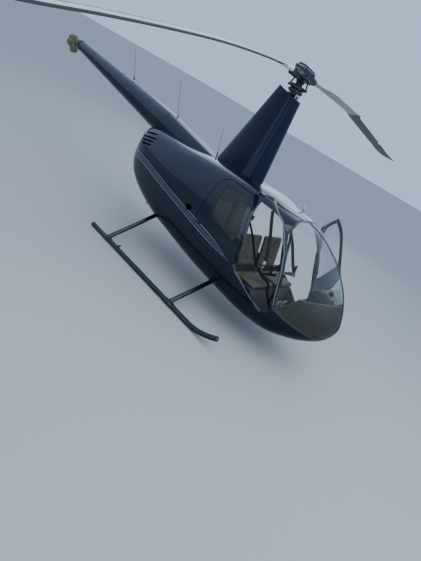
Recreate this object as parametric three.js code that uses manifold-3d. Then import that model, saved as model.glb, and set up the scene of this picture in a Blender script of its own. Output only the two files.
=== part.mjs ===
// Light four-seat piston helicopter on skids, with its tail surfaces missing, in millimetres.
// +X points to the nose, +Y to the left side and +Z up. Stations are distances ahead of the mast.
import * as THREE from 'three';
import { mergeVertices } from 'three/addons/utils/BufferGeometryUtils.js';
import Module from 'manifold-3d';

const wasm = await Module();
wasm.setup();

// Main sizes
const rotorRadius = 5030;
const rotorAzimuth = 93;
const hubHeight = 3215;
const noseStation = 2285;
const tailStation = -5360;
const skidTrack = 1070;
const doorOpenAngle = 98;

// Walls and gaps
const shellWall = 26;
const glassWall = 5;
const glassInset = 3;
const panelGap = 1;
const doorGap = 8;

// Finishes
const finishes = {
  navy: { color: 0x0c111b, roughness: 0.25, metalness: 0.1 },
  glass: { color: 0xb9c6c9, roughness: 0.05, metalness: 0, transparent: true, opacity: 0.3 },
  steel: { color: 0x8f9296, roughness: 0.35, metalness: 0.9 },
  primer: { color: 0x7c7440, roughness: 0.7, metalness: 0.1 },
  black: { color: 0x17181a, roughness: 0.6, metalness: 0.1 },
  leather: { color: 0x8a5c36, roughness: 0.6, metalness: 0 },
  carpet: { color: 0x5a4a3a, roughness: 0.95, metalness: 0 },
  grey: { color: 0x8a8c8c, roughness: 0.6, metalness: 0 },
  blade: { color: 0x2a2c30, roughness: 0.5, metalness: 0.2 },
};

// Solids from geometry and back
function solid(geometry) {
  const bare = geometry.clone();
  bare.deleteAttribute('normal');
  bare.deleteAttribute('uv');
  const merged = mergeVertices(bare, 1e-3);
  return new wasm.Manifold(new wasm.Mesh({
    numProp: 3,
    vertProperties: new Float32Array(merged.attributes.position.array),
    triVerts: new Uint32Array(merged.index.array),
  }));
}

function geometryOf(manifold) {
  const { vertProperties, triVerts, numProp } = manifold.getMesh();
  const position = new Float32Array((vertProperties.length / numProp) * 3);
  for (let i = 0; i < position.length / 3; i += 1) {
    position.set(vertProperties.subarray(i * numProp, i * numProp + 3), i * 3);
  }
  const geometry = new THREE.BufferGeometry();
  geometry.setAttribute('position', new THREE.BufferAttribute(position, 3));
  geometry.setIndex(new THREE.BufferAttribute(new Uint32Array(triVerts), 1));
  geometry.computeVertexNormals();
  return geometry;
}

function union(...manifolds) {
  return manifolds.reduce((sum, next) => sum.add(next));
}

// A closed skin over rings of equal point counts, each end closed by a fan
function loft(rings) {
  const count = rings[0].length;
  const points = rings.flat();
  const faces = [];
  for (let r = 0; r < rings.length - 1; r += 1) {
    for (let i = 0; i < count; i += 1) {
      const a = r * count + i;
      const b = r * count + ((i + 1) % count);
      faces.push(a, b, b + count, a, b + count, a + count);
    }
  }
  [[0, false], [rings.length - 1, true]].forEach(([r, last]) => {
    const centre = rings[r].reduce((sum, p) => sum.add(p), new THREE.Vector3()).divideScalar(count);
    const hub = points.push(centre) - 1;
    for (let i = 0; i < count; i += 1) {
      const a = r * count + i;
      const b = r * count + ((i + 1) % count);
      faces.push(...(last ? [hub, a, b] : [hub, b, a]));
    }
  });
  const geometry = new THREE.BufferGeometry().setFromPoints(points);
  geometry.setIndex(faces);
  return solid(facingOut(geometry));
}

function facingOut(geometry) {
  const { array } = geometry.attributes.position;
  const index = geometry.index.array;
  const corner = (i) => new THREE.Vector3().fromArray(array, index[i] * 3);
  let volume = 0;
  for (let i = 0; i < index.length; i += 3) {
    volume += corner(i).dot(corner(i + 1).cross(corner(i + 2)));
  }
  if (volume < 0) {
    for (let i = 0; i < index.length; i += 3) {
      [index[i + 1], index[i + 2]] = [index[i + 2], index[i + 1]];
    }
  }
  return geometry;
}

// A slab between two y values, its outline given as [station, height] pairs in the side view
function sideSlab(outline, yFrom, yTo) {
  const shape = new THREE.Shape(outline.map(([x, z]) => new THREE.Vector2(x, z)));
  const geometry = new THREE.ExtrudeGeometry(shape, { depth: yTo - yFrom, bevelEnabled: false });
  geometry.rotateX(Math.PI / 2);
  geometry.translate(0, yTo, 0);
  return solid(geometry);
}

function box(from, to) {
  const size = to.map((value, axis) => value - from[axis]);
  const geometry = new THREE.BoxGeometry(...size);
  geometry.translate(...from.map((value, axis) => value + size[axis] / 2));
  return solid(geometry);
}

// A round bar, or a cone, between two points
function bar(from, to, radius, endRadius = radius, sides = 16) {
  const start = new THREE.Vector3(...from);
  const along = new THREE.Vector3(...to).sub(start);
  const geometry = new THREE.CylinderGeometry(endRadius, radius, along.length(), sides);
  geometry.translate(0, along.length() / 2, 0);
  geometry.applyQuaternion(
    new THREE.Quaternion().setFromUnitVectors(new THREE.Vector3(0, 1, 0), along.normalize()));
  geometry.translate(...from);
  return solid(geometry);
}

// A round tube of constant radius along a curve
function rod(curve, radius, steps, sides = 12) {
  const section = new THREE.Shape();
  section.absarc(0, 0, radius, 0, 2 * Math.PI, false);
  return solid(new THREE.ExtrudeGeometry(section, {
    steps, curveSegments: sides / 2, extrudePath: curve, bevelEnabled: false,
  }));
}

function curveThrough(points) {
  return new THREE.CatmullRomCurve3(points.map((p) => new THREE.Vector3(...p)), false, 'centripetal');
}

const helicopter = new THREE.Group();
const model = new THREE.Group();
model.position.x = -(noseStation + tailStation) / 2;
helicopter.add(model);

function place(name, manifold, finish, parent = model) {
  const mesh = new THREE.Mesh(geometryOf(manifold), new THREE.MeshStandardMaterial(finishes[finish]));
  mesh.name = name;
  parent.add(mesh);
  return mesh;
}

// The pod: rounded sections from the nose back. A section is widest at its waist, square tells how
// boxy it is above the waist, and tuck how far its walls lean in there. turn is the share of a wall's
// thickness that lies along X, where the skin faces fore or aft.
const podStations = [
  { x: noseStation, top: 895, bottom: 815, half: 30, waist: 830, square: 1.8, tuck: 0.21, turn: 1 },
  { x: 2255, top: 970, bottom: 715, half: 125, waist: 830, square: 1.8, tuck: 0.21, turn: 0.9 },
  { x: 2190, top: 1100, bottom: 610, half: 225, waist: 830, square: 1.75, tuck: 0.2, turn: 0.7 },
  { x: 2085, top: 1255, bottom: 520, half: 315, waist: 835, square: 1.75, tuck: 0.19, turn: 0.55 },
  { x: 1955, top: 1385, bottom: 435, half: 385, waist: 845, square: 1.75, tuck: 0.18, turn: 0.4 },
  { x: 1800, top: 1510, bottom: 360, half: 450, waist: 855, square: 1.8, tuck: 0.16, turn: 0.3 },
  { x: 1620, top: 1605, bottom: 290, half: 510, waist: 870, square: 2.2, tuck: 0.14, turn: 0.2 },
  { x: 1400, top: 1695, bottom: 255, half: 570, waist: 895, square: 2.85, tuck: 0.12, turn: 0.1 },
  { x: 1150, top: 1745, bottom: 250, half: 625, waist: 920, square: 3.5, tuck: 0.11, turn: 0 },
  { x: 850, top: 1770, bottom: 270, half: 655, waist: 940, square: 3.9, tuck: 0.12, turn: 0 },
  { x: 500, top: 1805, bottom: 295, half: 665, waist: 955, square: 4.4, tuck: 0.13, turn: 0 },
  { x: 150, top: 1795, bottom: 325, half: 660, waist: 960, square: 4.4, tuck: 0.135, turn: 0 },
  { x: -200, top: 1765, bottom: 370, half: 650, waist: 975, square: 4.3, tuck: 0.13, turn: 0 },
  { x: -550, top: 1730, bottom: 415, half: 630, waist: 990, square: 4.2, tuck: 0.12, turn: 0 },
  { x: -950, top: 1685, bottom: 475, half: 605, waist: 1015, square: 4, tuck: 0.105, turn: 0 },
  { x: -1350, top: 1660, bottom: 575, half: 555, waist: 1070, square: 4, tuck: 0.09, turn: -0.1 },
  { x: -1650, top: 1645, bottom: 695, half: 495, waist: 1125, square: 4, tuck: 0.08, turn: -0.3 },
  { x: -1870, top: 1610, bottom: 840, half: 400, waist: 1190, square: 4, tuck: 0.07, turn: -0.6 },
  { x: -2000, top: 1520, bottom: 1000, half: 270, waist: 1240, square: 4, tuck: 0.065, turn: -1 },
];
const ringPoints = 32;
const bellySquare = 2.8;

function podSolid(inset) {
  return loft(podStations.map(({ x, top, bottom, half, waist, square, tuck, turn }) => {
    const across = inset * Math.sqrt(1 - turn * turn);
    return Array.from({ length: ringPoints }, (_, i) => {
      const angle = (2 * Math.PI * (i + 0.5)) / ringPoints;
      const power = angle < Math.PI ? square : bellySquare;
      const rise = angle < Math.PI ? top - waist - across : waist - bottom - across;
      const lift = Math.sign(Math.sin(angle)) * Math.abs(Math.sin(angle)) ** (2 / power);
      const reach = Math.sign(Math.cos(angle)) * Math.abs(Math.cos(angle)) ** (2 / power);
      const leanIn = 1 - tuck * Math.max(0, lift);
      return new THREE.Vector3(x - inset * turn, (half - across) * reach * leanIn, waist + rise * lift);
    });
  }));
}

const podOuter = podSolid(0);
const podShell = podOuter.subtract(podSolid(shellWall));
const podGlass = podSolid(glassInset).subtract(podSolid(glassInset + glassWall));

// Side-view outlines of the openings, in [station, height] pairs
const frontDoor = [
  [1490, 575], [1550, 590], [1585, 650], [1575, 745], [1495, 985], [1440, 1140], [1330, 1350],
  [1185, 1530], [1090, 1620], [1000, 1655], [900, 1670], [670, 1685], [725, 1490], [835, 1220],
  [915, 970], [915, 890], [965, 820], [1105, 760], [1300, 665],
];
const frontWindow = [
  [1465, 1000], [1410, 1140], [1305, 1340], [1165, 1505], [1075, 1590], [995, 1625], [900, 1638],
  [725, 1645], [770, 1490], [880, 1220], [945, 1060],
];
const rearDoor = [
  [880, 890], [880, 965], [800, 1220], [690, 1490], [635, 1690], [590, 1705], [150, 1700], [45, 1650],
  [5, 1500], [5, 1100], [45, 900], [110, 825], [220, 795], [780, 795], [850, 825],
];
const rearWindow = [
  [150, 1625], [530, 1635], [575, 1575], [620, 1435], [700, 1280], [720, 1150], [700, 1115],
  [530, 1140], [315, 1175], [225, 1195], [205, 1230],
];
const noseTip = 2400;
const windscreen = [
  [1620, 750], [1540, 985], [1485, 1140], [1375, 1350], [1290, 1460], [1230, 1545], [1210, 1600],
  [1215, 1640], [1180, 1700], [1170, 1745], [1170, 1900], [noseTip, 1900], [noseTip, 660],
  [2220, 670], [2125, 680], [1990, 690], [1770, 715],
];

// The same outline moved outwards by a margin, or inwards where it is negative
function around(outline, margin) {
  const corners = outline.map(([x, z]) => new THREE.Vector2(x, z));
  const turn = Math.sign(THREE.ShapeUtils.area(corners));
  const count = corners.length;
  return corners.map((corner, i) => {
    const before = corner.clone().sub(corners[(i + count - 1) % count]).normalize();
    const after = corners[(i + 1) % count].clone().sub(corner).normalize();
    const mitre = new THREE.Vector2(before.y + after.y, -before.x - after.x);
    const reach = (turn * margin * 2) / mitre.lengthSq();
    return [corner.x + mitre.x * reach, corner.y + mitre.y * reach];
  });
}

const halfSpan = 900;
const fullSpan = (outline) => sideSlab(outline, -halfSpan, halfSpan);
const innerSpan = 250;
const sideSpan = (outline, side) => (
  side > 0 ? sideSlab(outline, innerSpan, halfSpan) : sideSlab(outline, -halfSpan, -innerSpan));

const windscreenCut = fullSpan(windscreen);
const frontDoorCut = [1, -1].map((side) => sideSpan(frontDoor, side));
const rearDoorCut = [1, -1].map((side) => sideSpan(rearDoor, side));
const cabinShell = podShell.subtract(union(windscreenCut, ...frontDoorCut, ...rearDoorCut));

// Panels of the pod, split where the real skins meet
const waterline = 760;
const firewall = -60;
const noseJoint = 1690;
const cowlJoint = -1450;
const cowlLine = 1330;
const podTop = 2100;
const podTail = -2020;
const gap = panelGap / 2;

function region([xFrom, yFrom, zFrom], [xTo, yTo, zTo]) {
  return box([xFrom + gap, yFrom + gap, zFrom + gap], [xTo - gap, yTo - gap, zTo - gap]);
}

// Landing gear: two skids, each cross tube bent down from the belly to both of them
const skidRadius = 35;
const crossRadius = 32;
const skidTail = -1330;
const toeStart = 980;
const toeTip = [1470, 185];
const crossTubes = [
  { name: 'cross_tube_front', station: 600, bellyHalf: 440, bellyHeight: 350, innerHeight: 398 },
  { name: 'cross_tube_rear', station: -920, bellyHalf: 380, bellyHeight: 498, innerHeight: 545 },
];
const crossBend = 90;
const footHeight = 50;

function crossTube({ station, bellyHalf, bellyHeight, innerHeight }, radius) {
  const half = [
    [station, skidTrack, footHeight],
    [station, (skidTrack + bellyHalf) / 2, (footHeight + bellyHeight) / 2],
    [station, bellyHalf, bellyHeight],
    [station, bellyHalf - crossBend, innerHeight],
  ];
  const route = [...half, [station, 0, innerHeight], ...half.map(([x, y, z]) => [x, -y, z]).reverse()];
  return rod(curveThrough(route), radius, 28, 10);
}

const skidSides = [['skid_left', 1], ['skid_right', -1]];

function skidTube(side, radius) {
  const at = (x, z) => new THREE.Vector3(x, side * skidTrack, z);
  const route = new THREE.CurvePath();
  route.add(new THREE.LineCurve3(at(skidTail, skidRadius), at(toeStart, skidRadius)));
  route.add(new THREE.QuadraticBezierCurve3(
    at(toeStart, skidRadius), at((toeStart + toeTip[0]) / 2, skidRadius), at(...toeTip)));
  return rod(route, radius, 24);
}

skidSides.forEach(([name, side]) => place(name, skidTube(side, skidRadius), 'navy'));
const skidSpace = union(...skidSides.map(([, side]) => skidTube(side, skidRadius + 0.6)));
const crossHoles = union(...crossTubes.map((tube) => crossTube(tube, crossRadius + 2)));
crossTubes.forEach((tube) => place(tube.name, crossTube(tube, crossRadius).subtract(skidSpace), 'navy'));

// Tail boom: a cone whose line runs on under the upper cowl as a spine
const boomFront = { x: -1860, z: 1692, radius: 212 };
const boomEnd = { x: -4860, z: 1975, radius: 96 };
const spineFront = { x: -560, z: 1560, radius: 175 };
const spineRear = { x: -1900, z: 1696, radius: 212 };
const boomWall = 10;
const boomSides = 24;

function cone(from, to, inset, overrun = 0) {
  return bar([from.x + overrun, 0, from.z], [to.x - overrun, 0, to.z],
    from.radius - inset, to.radius - inset, boomSides);
}

const spine = cone(spineFront, spineRear, 0);
const spineInside = cone(spineFront, spineRear, shellWall / 2, 2);
const podInside = podSolid(shellWall);
const boomSlope = (boomEnd.z - boomFront.z) / (boomEnd.x - boomFront.x);
const aheadOfBoom = box([boomFront.x + panelGap, -halfSpan, 0], [0, halfSpan, podTop]);
const behindCowl = box([tailStation, -halfSpan, 0], [boomFront.x, halfSpan, podTop + 200]);
const spineShell = spine.subtract(spineInside).subtract(podInside).intersect(aheadOfBoom);
const boomRoot = { x: boomFront.x + 40, z: boomFront.z + 40 * boomSlope, radius: boomFront.radius };
place('tail_boom', cone(boomRoot, boomEnd, 0)
  .subtract(cone(boomRoot, boomEnd, boomWall, 1))
  .intersect(behindCowl)
  .subtract(podSolid(-1)), 'navy');
const endRing = { start: boomEnd.x - 12, end: boomEnd.x - 80, rise: 7, radius: 101, endRadius: 74, hole: 50 };
place('boom_end_ring', bar([endRing.start, 0, boomEnd.z], [endRing.end, 0, boomEnd.z + endRing.rise],
  endRing.radius, endRing.endRadius, boomSides)
  .subtract(bar([boomEnd.x, 0, boomEnd.z], [endRing.end - 10, 0, boomEnd.z + endRing.rise],
    endRing.hole, endRing.hole)), 'black');
const neck = { start: boomEnd.x - 30, end: boomEnd.x - 90, root: -5160, rise: 8, radius: 45, rootRadius: 60 };
const casing = { foot: [-5110, 0, 1800], top: [-5290, 0, 2045], footRadius: 78, topRadius: 92 };
const tailShaft = { x: -5200, z: 1925, right: -125, left: 150, rightRadius: 62, leftRadius: 50 };
place('tail_gearbox', union(
  bar([neck.start, 0, boomEnd.z], [neck.end, 0, boomEnd.z + neck.rise], neck.radius, neck.radius),
  bar([neck.end, 0, boomEnd.z + neck.rise], [neck.root, 0, boomEnd.z - 25], neck.radius, neck.rootRadius),
  bar(casing.foot, casing.top, casing.footRadius, casing.topRadius),
  bar([tailShaft.x, tailShaft.right, tailShaft.z], [tailShaft.x, tailShaft.left, tailShaft.z],
    tailShaft.rightRadius, tailShaft.leftRadius),
).intersect(box([tailStation, -halfSpan, 0], [boomEnd.x, halfSpan, 2200])), 'primer');

// Cowls behind the firewall
const podBehind = union(podShell, spineShell).subtract(crossHoles);
const louvres = [
  [[-1824, 1478], [-1554, 1547]],
  [[-1833, 1413], [-1480, 1492]],
  [[-1814, 1362], [-1495, 1433]],
  [[-1769, 1318], [-1502, 1378]],
];
const louvreHeight = 24;
const louvreCut = union(...louvres.flatMap(([aft, fore]) => {
  const slot = [aft, fore, [fore[0], fore[1] + louvreHeight], [aft[0], aft[1] + louvreHeight]];
  return [sideSpan(slot, 1), sideSpan(slot, -1)];
}));
const intake = { x: -180, z: 1072, reach: 62, half: 42 };
const intakeCut = sideSpan(Array.from({ length: 16 }, (_, i) => {
  const angle = (2 * Math.PI * i) / 16;
  return [intake.x + intake.reach * Math.cos(angle), intake.z + intake.half * Math.sin(angle)];
}), -1);
const coolingCut = box([-1345, -230, 0], [-480, 230, 700]);
const cowls = podBehind.subtract(union(coolingCut, louvreCut, intakeCut));
[
  ['upper_cowl', [podTail, -halfSpan, cowlLine], [firewall, halfSpan, podTop]],
  ['engine_cowl_left', [cowlJoint, 0, 0], [firewall, halfSpan, cowlLine]],
  ['engine_cowl_right', [cowlJoint, -halfSpan, 0], [firewall, 0, cowlLine]],
  ['tail_cowl', [podTail, -halfSpan, 0], [cowlJoint, halfSpan, cowlLine]],
].forEach(([name, from, to]) => {
  place(name, cowls.intersect(region(from, to)), 'navy');
});

// Cabin shell ahead of the firewall
const cabinWall = cabinShell.subtract(crossHoles);
[
  ['nose_bowl', [noseJoint, -halfSpan, 0], [noseTip, halfSpan, podTop]],
  ['belly_shell', [firewall, -halfSpan, 0], [noseJoint, halfSpan, waterline]],
  ['cabin_frame', [firewall, -halfSpan, waterline], [noseJoint, halfSpan, podTop]],
].forEach(([name, from, to]) => {
  place(name, cabinWall.intersect(region(from, to)), 'navy');
});

// Windscreen halves and the strip that covers their joint
const stripHalf = 16;
const windscreenGlass = podGlass.intersect(fullSpan(around(windscreen, -3)));
place('windscreen_left', windscreenGlass.intersect(box([1000, 1, 0], [noseTip, halfSpan, 1900])), 'glass');
place('windscreen_right', windscreenGlass.intersect(box([1000, -halfSpan, 0], [noseTip, -1, 1900])), 'glass');
place('windscreen_strip', podOuter.subtract(podSolid(glassInset - 0.4))
  .intersect(fullSpan(around(windscreen, -1)))
  .intersect(box([1000, -stripHalf, 0], [noseTip, stripHalf, 1900])), 'black');

// Doors: panel with its window cut, and the window
const doors = [
  { name: 'door_front_left', outline: frontDoor, window: frontWindow, side: 1,
    hinge: [[1597, 540, 750], [1420, 545, 1140]], open: -doorOpenAngle },
  { name: 'door_rear_right', outline: rearDoor, window: rearWindow, side: -1,
    hinge: [[900, -676, 870], [801, -668, 1219]], open: 0 },
];
doors.forEach(({ name, outline, window, side, hinge, open }) => {
  const pivot = new THREE.Vector3(...hinge[0]);
  const axis = new THREE.Vector3(...hinge[1]).sub(pivot).normalize();
  const swing = new THREE.Group();
  swing.position.copy(pivot);
  swing.quaternion.setFromAxisAngle(axis, THREE.MathUtils.degToRad(open));
  const leaf = new THREE.Group();
  leaf.position.copy(pivot).negate();
  swing.add(leaf);
  model.add(swing);
  const frame = podShell.intersect(sideSpan(around(outline, -doorGap), side))
    .subtract(sideSpan(window, side));
  const pane = podGlass.intersect(sideSpan(around(window, -1), side));
  place(name, frame, 'navy', leaf);
  place(`${name}_window`, pane, 'glass', leaf);
});

// Cabin inside
const lining = podSolid(shellWall + 1);
const floorTop = 495;
const floorThickness = 16;
const bulkheadFace = firewall + 25;
place('cabin_floor', lining.intersect(box(
  [bulkheadFace + 5, -halfSpan, floorTop - floorThickness], [noseTip, halfSpan, floorTop])), 'carpet');
place('rear_bulkhead', lining.intersect(box(
  [firewall + panelGap, -halfSpan, 0], [bulkheadFace, halfSpan, podTop])), 'grey');

const seatRows = [
  { name: 'front', plinth: { aft: 805, fore: 1255, top: 715 },
    cushion: { aft: 895, fore: 1270, low: 716, high: 800 },
    back: { foot: 745, aft: 805, top: 1225, rake: -135 } },
  { name: 'rear', plinth: { aft: -30, fore: 390, top: 765 },
    cushion: { aft: 145, fore: 400, low: 766, high: 850 },
    back: { foot: 850, aft: 30, top: 1370, rake: -40 } },
];
const seatPitch = 280;
const cushionHalf = 260;
const backHalf = 250;
const backThickness = 85;
seatRows.forEach(({ name, plinth, cushion, back }) => {
  const reach = seatPitch + cushionHalf;
  const plinthBox = box([plinth.aft, -reach, floorTop + panelGap], [plinth.fore, reach, plinth.top]);
  place(`seat_box_${name}`, lining.intersect(plinthBox), 'carpet');
  [['left', 1], ['right', -1]].forEach(([sideName, side]) => {
    const middle = side * seatPitch;
    const pad = box([cushion.aft, middle - cushionHalf, cushion.low],
      [cushion.fore, middle + cushionHalf, cushion.high]);
    place(`seat_cushion_${name}_${sideName}`, lining.intersect(pad), 'leather');
    const outline = [
      [back.aft, back.foot], [back.aft + backThickness, back.foot],
      [back.aft + backThickness + back.rake, back.top], [back.aft + back.rake, back.top],
    ];
    const upright = sideSlab(outline, middle - backHalf, middle + backHalf);
    place(`seat_back_${name}_${sideName}`, lining.intersect(upright), 'leather');
  });
});

const consoleTop = 955;
place('console_pedestal', lining.intersect(sideSlab([
  [1470, floorTop + panelGap], [1535, 665], [1650, 825], [1800, consoleTop],
  [2040, consoleTop], [2130, floorTop + panelGap],
], -150, 150)), 'carpet');
const glareshield = sideSlab([
  [1790, consoleTop + panelGap], [2060, consoleTop + panelGap], [2090, 1060], [2040, 1130],
  [1900, 1175], [1800, 1130],
], -200, 200);
const ventHead = sideSlab([
  [1830, 1060], [1830, 1135], [1960, 1255], [2080, 1190], [2115, 1125], [2060, 1050],
], -95, 95);
const glassClearance = 6;
place('instrument_console', podSolid(glassInset + glassWall + glassClearance)
  .intersect(union(glareshield, ventHead)), 'grey');

const pedalSets = [['pedals_left', 1], ['pedals_right', -1]];
const plate = { x: 1585, thickness: 8, half: 48, low: 700, high: 790, reaches: [210, 370] };
const pedalShaft = { x: 1645, z: 560, from: 200, to: 380, post: 290 };
const aboveFloor = box([0, -halfSpan, floorTop + panelGap / 2], [noseTip, halfSpan, podTop]);
pedalSets.forEach(([name, side]) => {
  const onShaft = (y, z = pedalShaft.z) => [pedalShaft.x, side * y, z];
  const plates = plate.reaches.map((y) => union(
    box([plate.x, side * y - plate.half, plate.low],
      [plate.x + plate.thickness, side * y + plate.half, plate.high]),
    bar([plate.x + plate.thickness / 2, side * y, plate.low + 5], onShaft(y), 9, 9, 8),
  ));
  place(name, union(
    ...plates,
    bar(onShaft(pedalShaft.from), onShaft(pedalShaft.to), 11, 11, 8),
    bar(onShaft(pedalShaft.post), onShaft(pedalShaft.post, 0), 13, 13, 8),
  ).intersect(aboveFloor), 'steel');
});

const cyclic = { footX: 1330, headX: 1250, barZ: 985, gripX: 1235, gripZ: 1075, reach: 330 };
place('cyclic_stick', union(
  bar([cyclic.footX, 0, 0], [cyclic.headX, 0, cyclic.barZ - 25], 16, 14, 10).intersect(aboveFloor),
  bar([cyclic.headX, -cyclic.reach, cyclic.barZ], [cyclic.headX, cyclic.reach, cyclic.barZ], 13, 13, 10),
  ...[1, -1].map((side) => bar([cyclic.headX, side * cyclic.reach, cyclic.barZ],
    [cyclic.gripX, side * cyclic.reach, cyclic.gripZ], 17, 17, 10)),
  box([cyclic.headX - 18, -16, cyclic.barZ - 45], [cyclic.headX + 18, 16, cyclic.barZ + 15]),
), 'black');

// Engine block and exhaust
place('engine_block', box([-1240, -370, 730], [-360, 370, 1180]), 'black');
const exhaustRoute = [[-1150, -150, 729], [-1150, -150, 640], [-1230, -150, 560], [-1400, -150, 505]];
place('exhaust_pipe', rod(curveThrough(exhaustRoute), 32, 10, 10), 'steel');

// Mast fairing: an upright teardrop that leans forward, open at its foot and round the mast
const fairingLevels = [
  { aft: -658, fore: 267, half: 178, z: 1640, tilt: 0 },
  { aft: -258, fore: 150, half: 105, z: 2938, tilt: -0.22 },
];
const fairingPoints = 24;

function fairingSolid(inset, drop) {
  return loft(fairingLevels.map(({ aft, fore, half, z, tilt }) => (
    Array.from({ length: fairingPoints }, (_, i) => {
      const angle = (2 * Math.PI * i) / fairingPoints;
      const reach = (fore - aft) / 2 - inset;
      const x = (fore + aft) / 2 + reach * Math.cos(angle);
      const y = (half - inset) * Math.sin(angle) * (1 + 0.3 * Math.cos(angle));
      return new THREE.Vector3(x, y, z + tilt * x - drop);
    }))));
}

const fairingWall = 12;
place('mast_fairing', fairingSolid(0, 0)
  .subtract(fairingSolid(fairingWall, fairingWall))
  .subtract(podSolid(-1))
  .subtract(cone(spineFront, spineRear, -1, 2))
  .subtract(box([-115, -62, 2800], [105, 62, 3100])), 'navy');
const mastTubeTop = 2935;
place('mast_tube', bar([0, 0, 1800], [0, 0, mastTubeTop], 44, 44, 20), 'grey');

// Swashplate: a fixed ring on three push rods, and above it the ring that turns with the rotor
const fixedRing = { foot: 2978, top: 3018, radius: 105, hole: 37 };
const turningRing = { foot: 3026, top: 3072, radius: 108, hole: 31 };
const ringSolid = ({ foot, top, radius, hole }) => bar([0, 0, foot], [0, 0, top], radius, radius, 20)
  .subtract(bar([0, 0, foot - 10], [0, 0, top + 10], hole, hole, 20));
const pushRods = [[70, 35], [70, -35], [-82, 0]];
const pushRodFoot = 2780;
place('swashplate', union(
  ringSolid(fixedRing),
  ...pushRods.map(([x, y]) => bar([x, y, pushRodFoot], [x, y, fixedRing.foot + 5], 8, 8, 8)),
), 'steel');

// Rotor
const rotor = new THREE.Group();
rotor.rotation.z = THREE.MathUtils.degToRad(rotorAzimuth);
model.add(rotor);
const mastRadius = 29;
const trunnion = { foot: hubHeight - 103, top: hubHeight + 90, footRadius: 62, topRadius: 50 };
const yoke = { aft: -185, fore: 190, half: 55, foot: hubHeight - 70, top: hubHeight + 95 };
const lowRoot = { aft: -309, fore: -100, half: 55, foot: hubHeight - 100, top: hubHeight + 5 };
const spindle = { near: 180, far: 309, nearRadius: 52, farRadius: 46 };
const horn = { inner: 40, outer: 150, near: 45, far: 160, thickness: 25 };
const linkReach = 138;
const linkFoot = 3050;
place('rotor_mast', bar([0, 0, mastTubeTop + 7], [0, 0, trunnion.foot - panelGap],
  mastRadius, mastRadius, 20), 'steel', rotor);
place('pitch_links', union(
  ringSolid(turningRing),
  ...[1, -1].map((side) => bar([0, side * 90, linkFoot], [0, side * (linkReach + 14), linkFoot], 20, 14, 10)),
  bar([0, linkReach, linkFoot], [60, linkReach, hubHeight - 45], 9, 9, 8),
  bar([0, -linkReach, linkFoot], [-60, -linkReach, hubHeight - 65], 9, 9, 8),
), 'steel', rotor);
place('rotor_hub', union(
  bar([0, 0, trunnion.foot], [0, 0, trunnion.top], trunnion.footRadius, trunnion.topRadius, 16),
  box([yoke.aft, -yoke.half, yoke.foot], [yoke.fore, yoke.half, yoke.top]),
  box([lowRoot.aft, -lowRoot.half, lowRoot.foot], [lowRoot.fore, lowRoot.half, lowRoot.top]),
  bar([spindle.near, 0, hubHeight + 4], [spindle.far, 0, hubHeight + 6],
    spindle.nearRadius, spindle.farRadius, 14),
  box([horn.near, horn.inner, hubHeight - 40], [horn.far, horn.outer, hubHeight - 40 + horn.thickness]),
  box([-horn.far, -horn.outer, hubHeight - 60], [-horn.near, -horn.inner, hubHeight - 60 + horn.thickness]),
), 'steel', rotor);

// Blade stations: reach from the mast, height of the pitch axis, distance of the leading edge ahead
// of it, chord and thickness
const bladeChord = 254;
const bladeThickness = 30;
const bladeLead = 64;
const plainBlade = { lead: bladeLead, chord: bladeChord, thick: bladeThickness };
const risingBlade = [
  { r: 310, z: 3221, lead: 24, chord: 95, thick: 70 },
  { r: 460, z: 3224, lead: 30, chord: 120, thick: 50 },
  { r: 640, z: 3229, ...plainBlade },
  { r: 1250, z: 3240, ...plainBlade },
  { r: 1820, z: 3246, ...plainBlade },
  { r: 1870, z: 3236, ...plainBlade },
  { r: 2680, z: 3177, ...plainBlade },
  { r: 3550, z: 3125, ...plainBlade },
  { r: 4270, z: 3078, ...plainBlade },
  { r: 4700, z: 3066, lead: 35, chord: 225, thick: 24 },
  { r: 4890, z: 3062, lead: -35, chord: 145, thick: 16 },
  { r: rotorRadius, z: 3060, lead: -120, chord: 50, thick: 10 },
];
const droopingBlade = [
  { r: 310, z: 3184, lead: 24, chord: 95, thick: 70 },
  { r: 460, z: 3166, lead: 30, chord: 120, thick: 50 },
  { r: 640, z: 3144, ...plainBlade },
  { r: 1120, z: 3068, ...plainBlade },
  { r: 1730, z: 2947, ...plainBlade },
  { r: 2433, z: 2774, ...plainBlade },
  { r: 3032, z: 2611, ...plainBlade },
  { r: 3588, z: 2449, ...plainBlade },
  { r: 4300, z: 2275, ...plainBlade },
  { r: 4960, z: 2150, ...plainBlade },
  { r: rotorRadius, z: 2140, lead: 38, chord: 150, thick: 10 },
];
const risingPitch = 6;
// Aerofoil: share of the chord behind the leading edge, and share of half the thickness
const aerofoil = [[0.01, 0.2], [0.05, 0.6], [0.15, 0.9], [0.3, 1], [0.6, 0.7], [0.99, 0.08]];

// A blade along X, its trailing edge raised by a pitch in degrees
function bladeSolid(stations, pitch) {
  const turn = THREE.MathUtils.degToRad(pitch);
  return loft(stations.map(({ r, z, lead, chord, thick }) => {
    const side = (sign) => aerofoil.map(([back, half]) => {
      const y = lead - back * chord;
      const rise = (sign * half * thick) / 2;
      return new THREE.Vector3(r, y * Math.cos(turn) + rise * Math.sin(turn),
        z - y * Math.sin(turn) + rise * Math.cos(turn));
    });
    return [...side(1), ...side(-1).reverse()];
  }));
}

place('rotor_blade_1', bladeSolid(risingBlade, risingPitch), 'blade', rotor);
const opposite = new THREE.Group();
opposite.rotation.z = Math.PI;
rotor.add(opposite);
place('rotor_blade_2', bladeSolid(droopingBlade, 0), 'blade', opposite);

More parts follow.
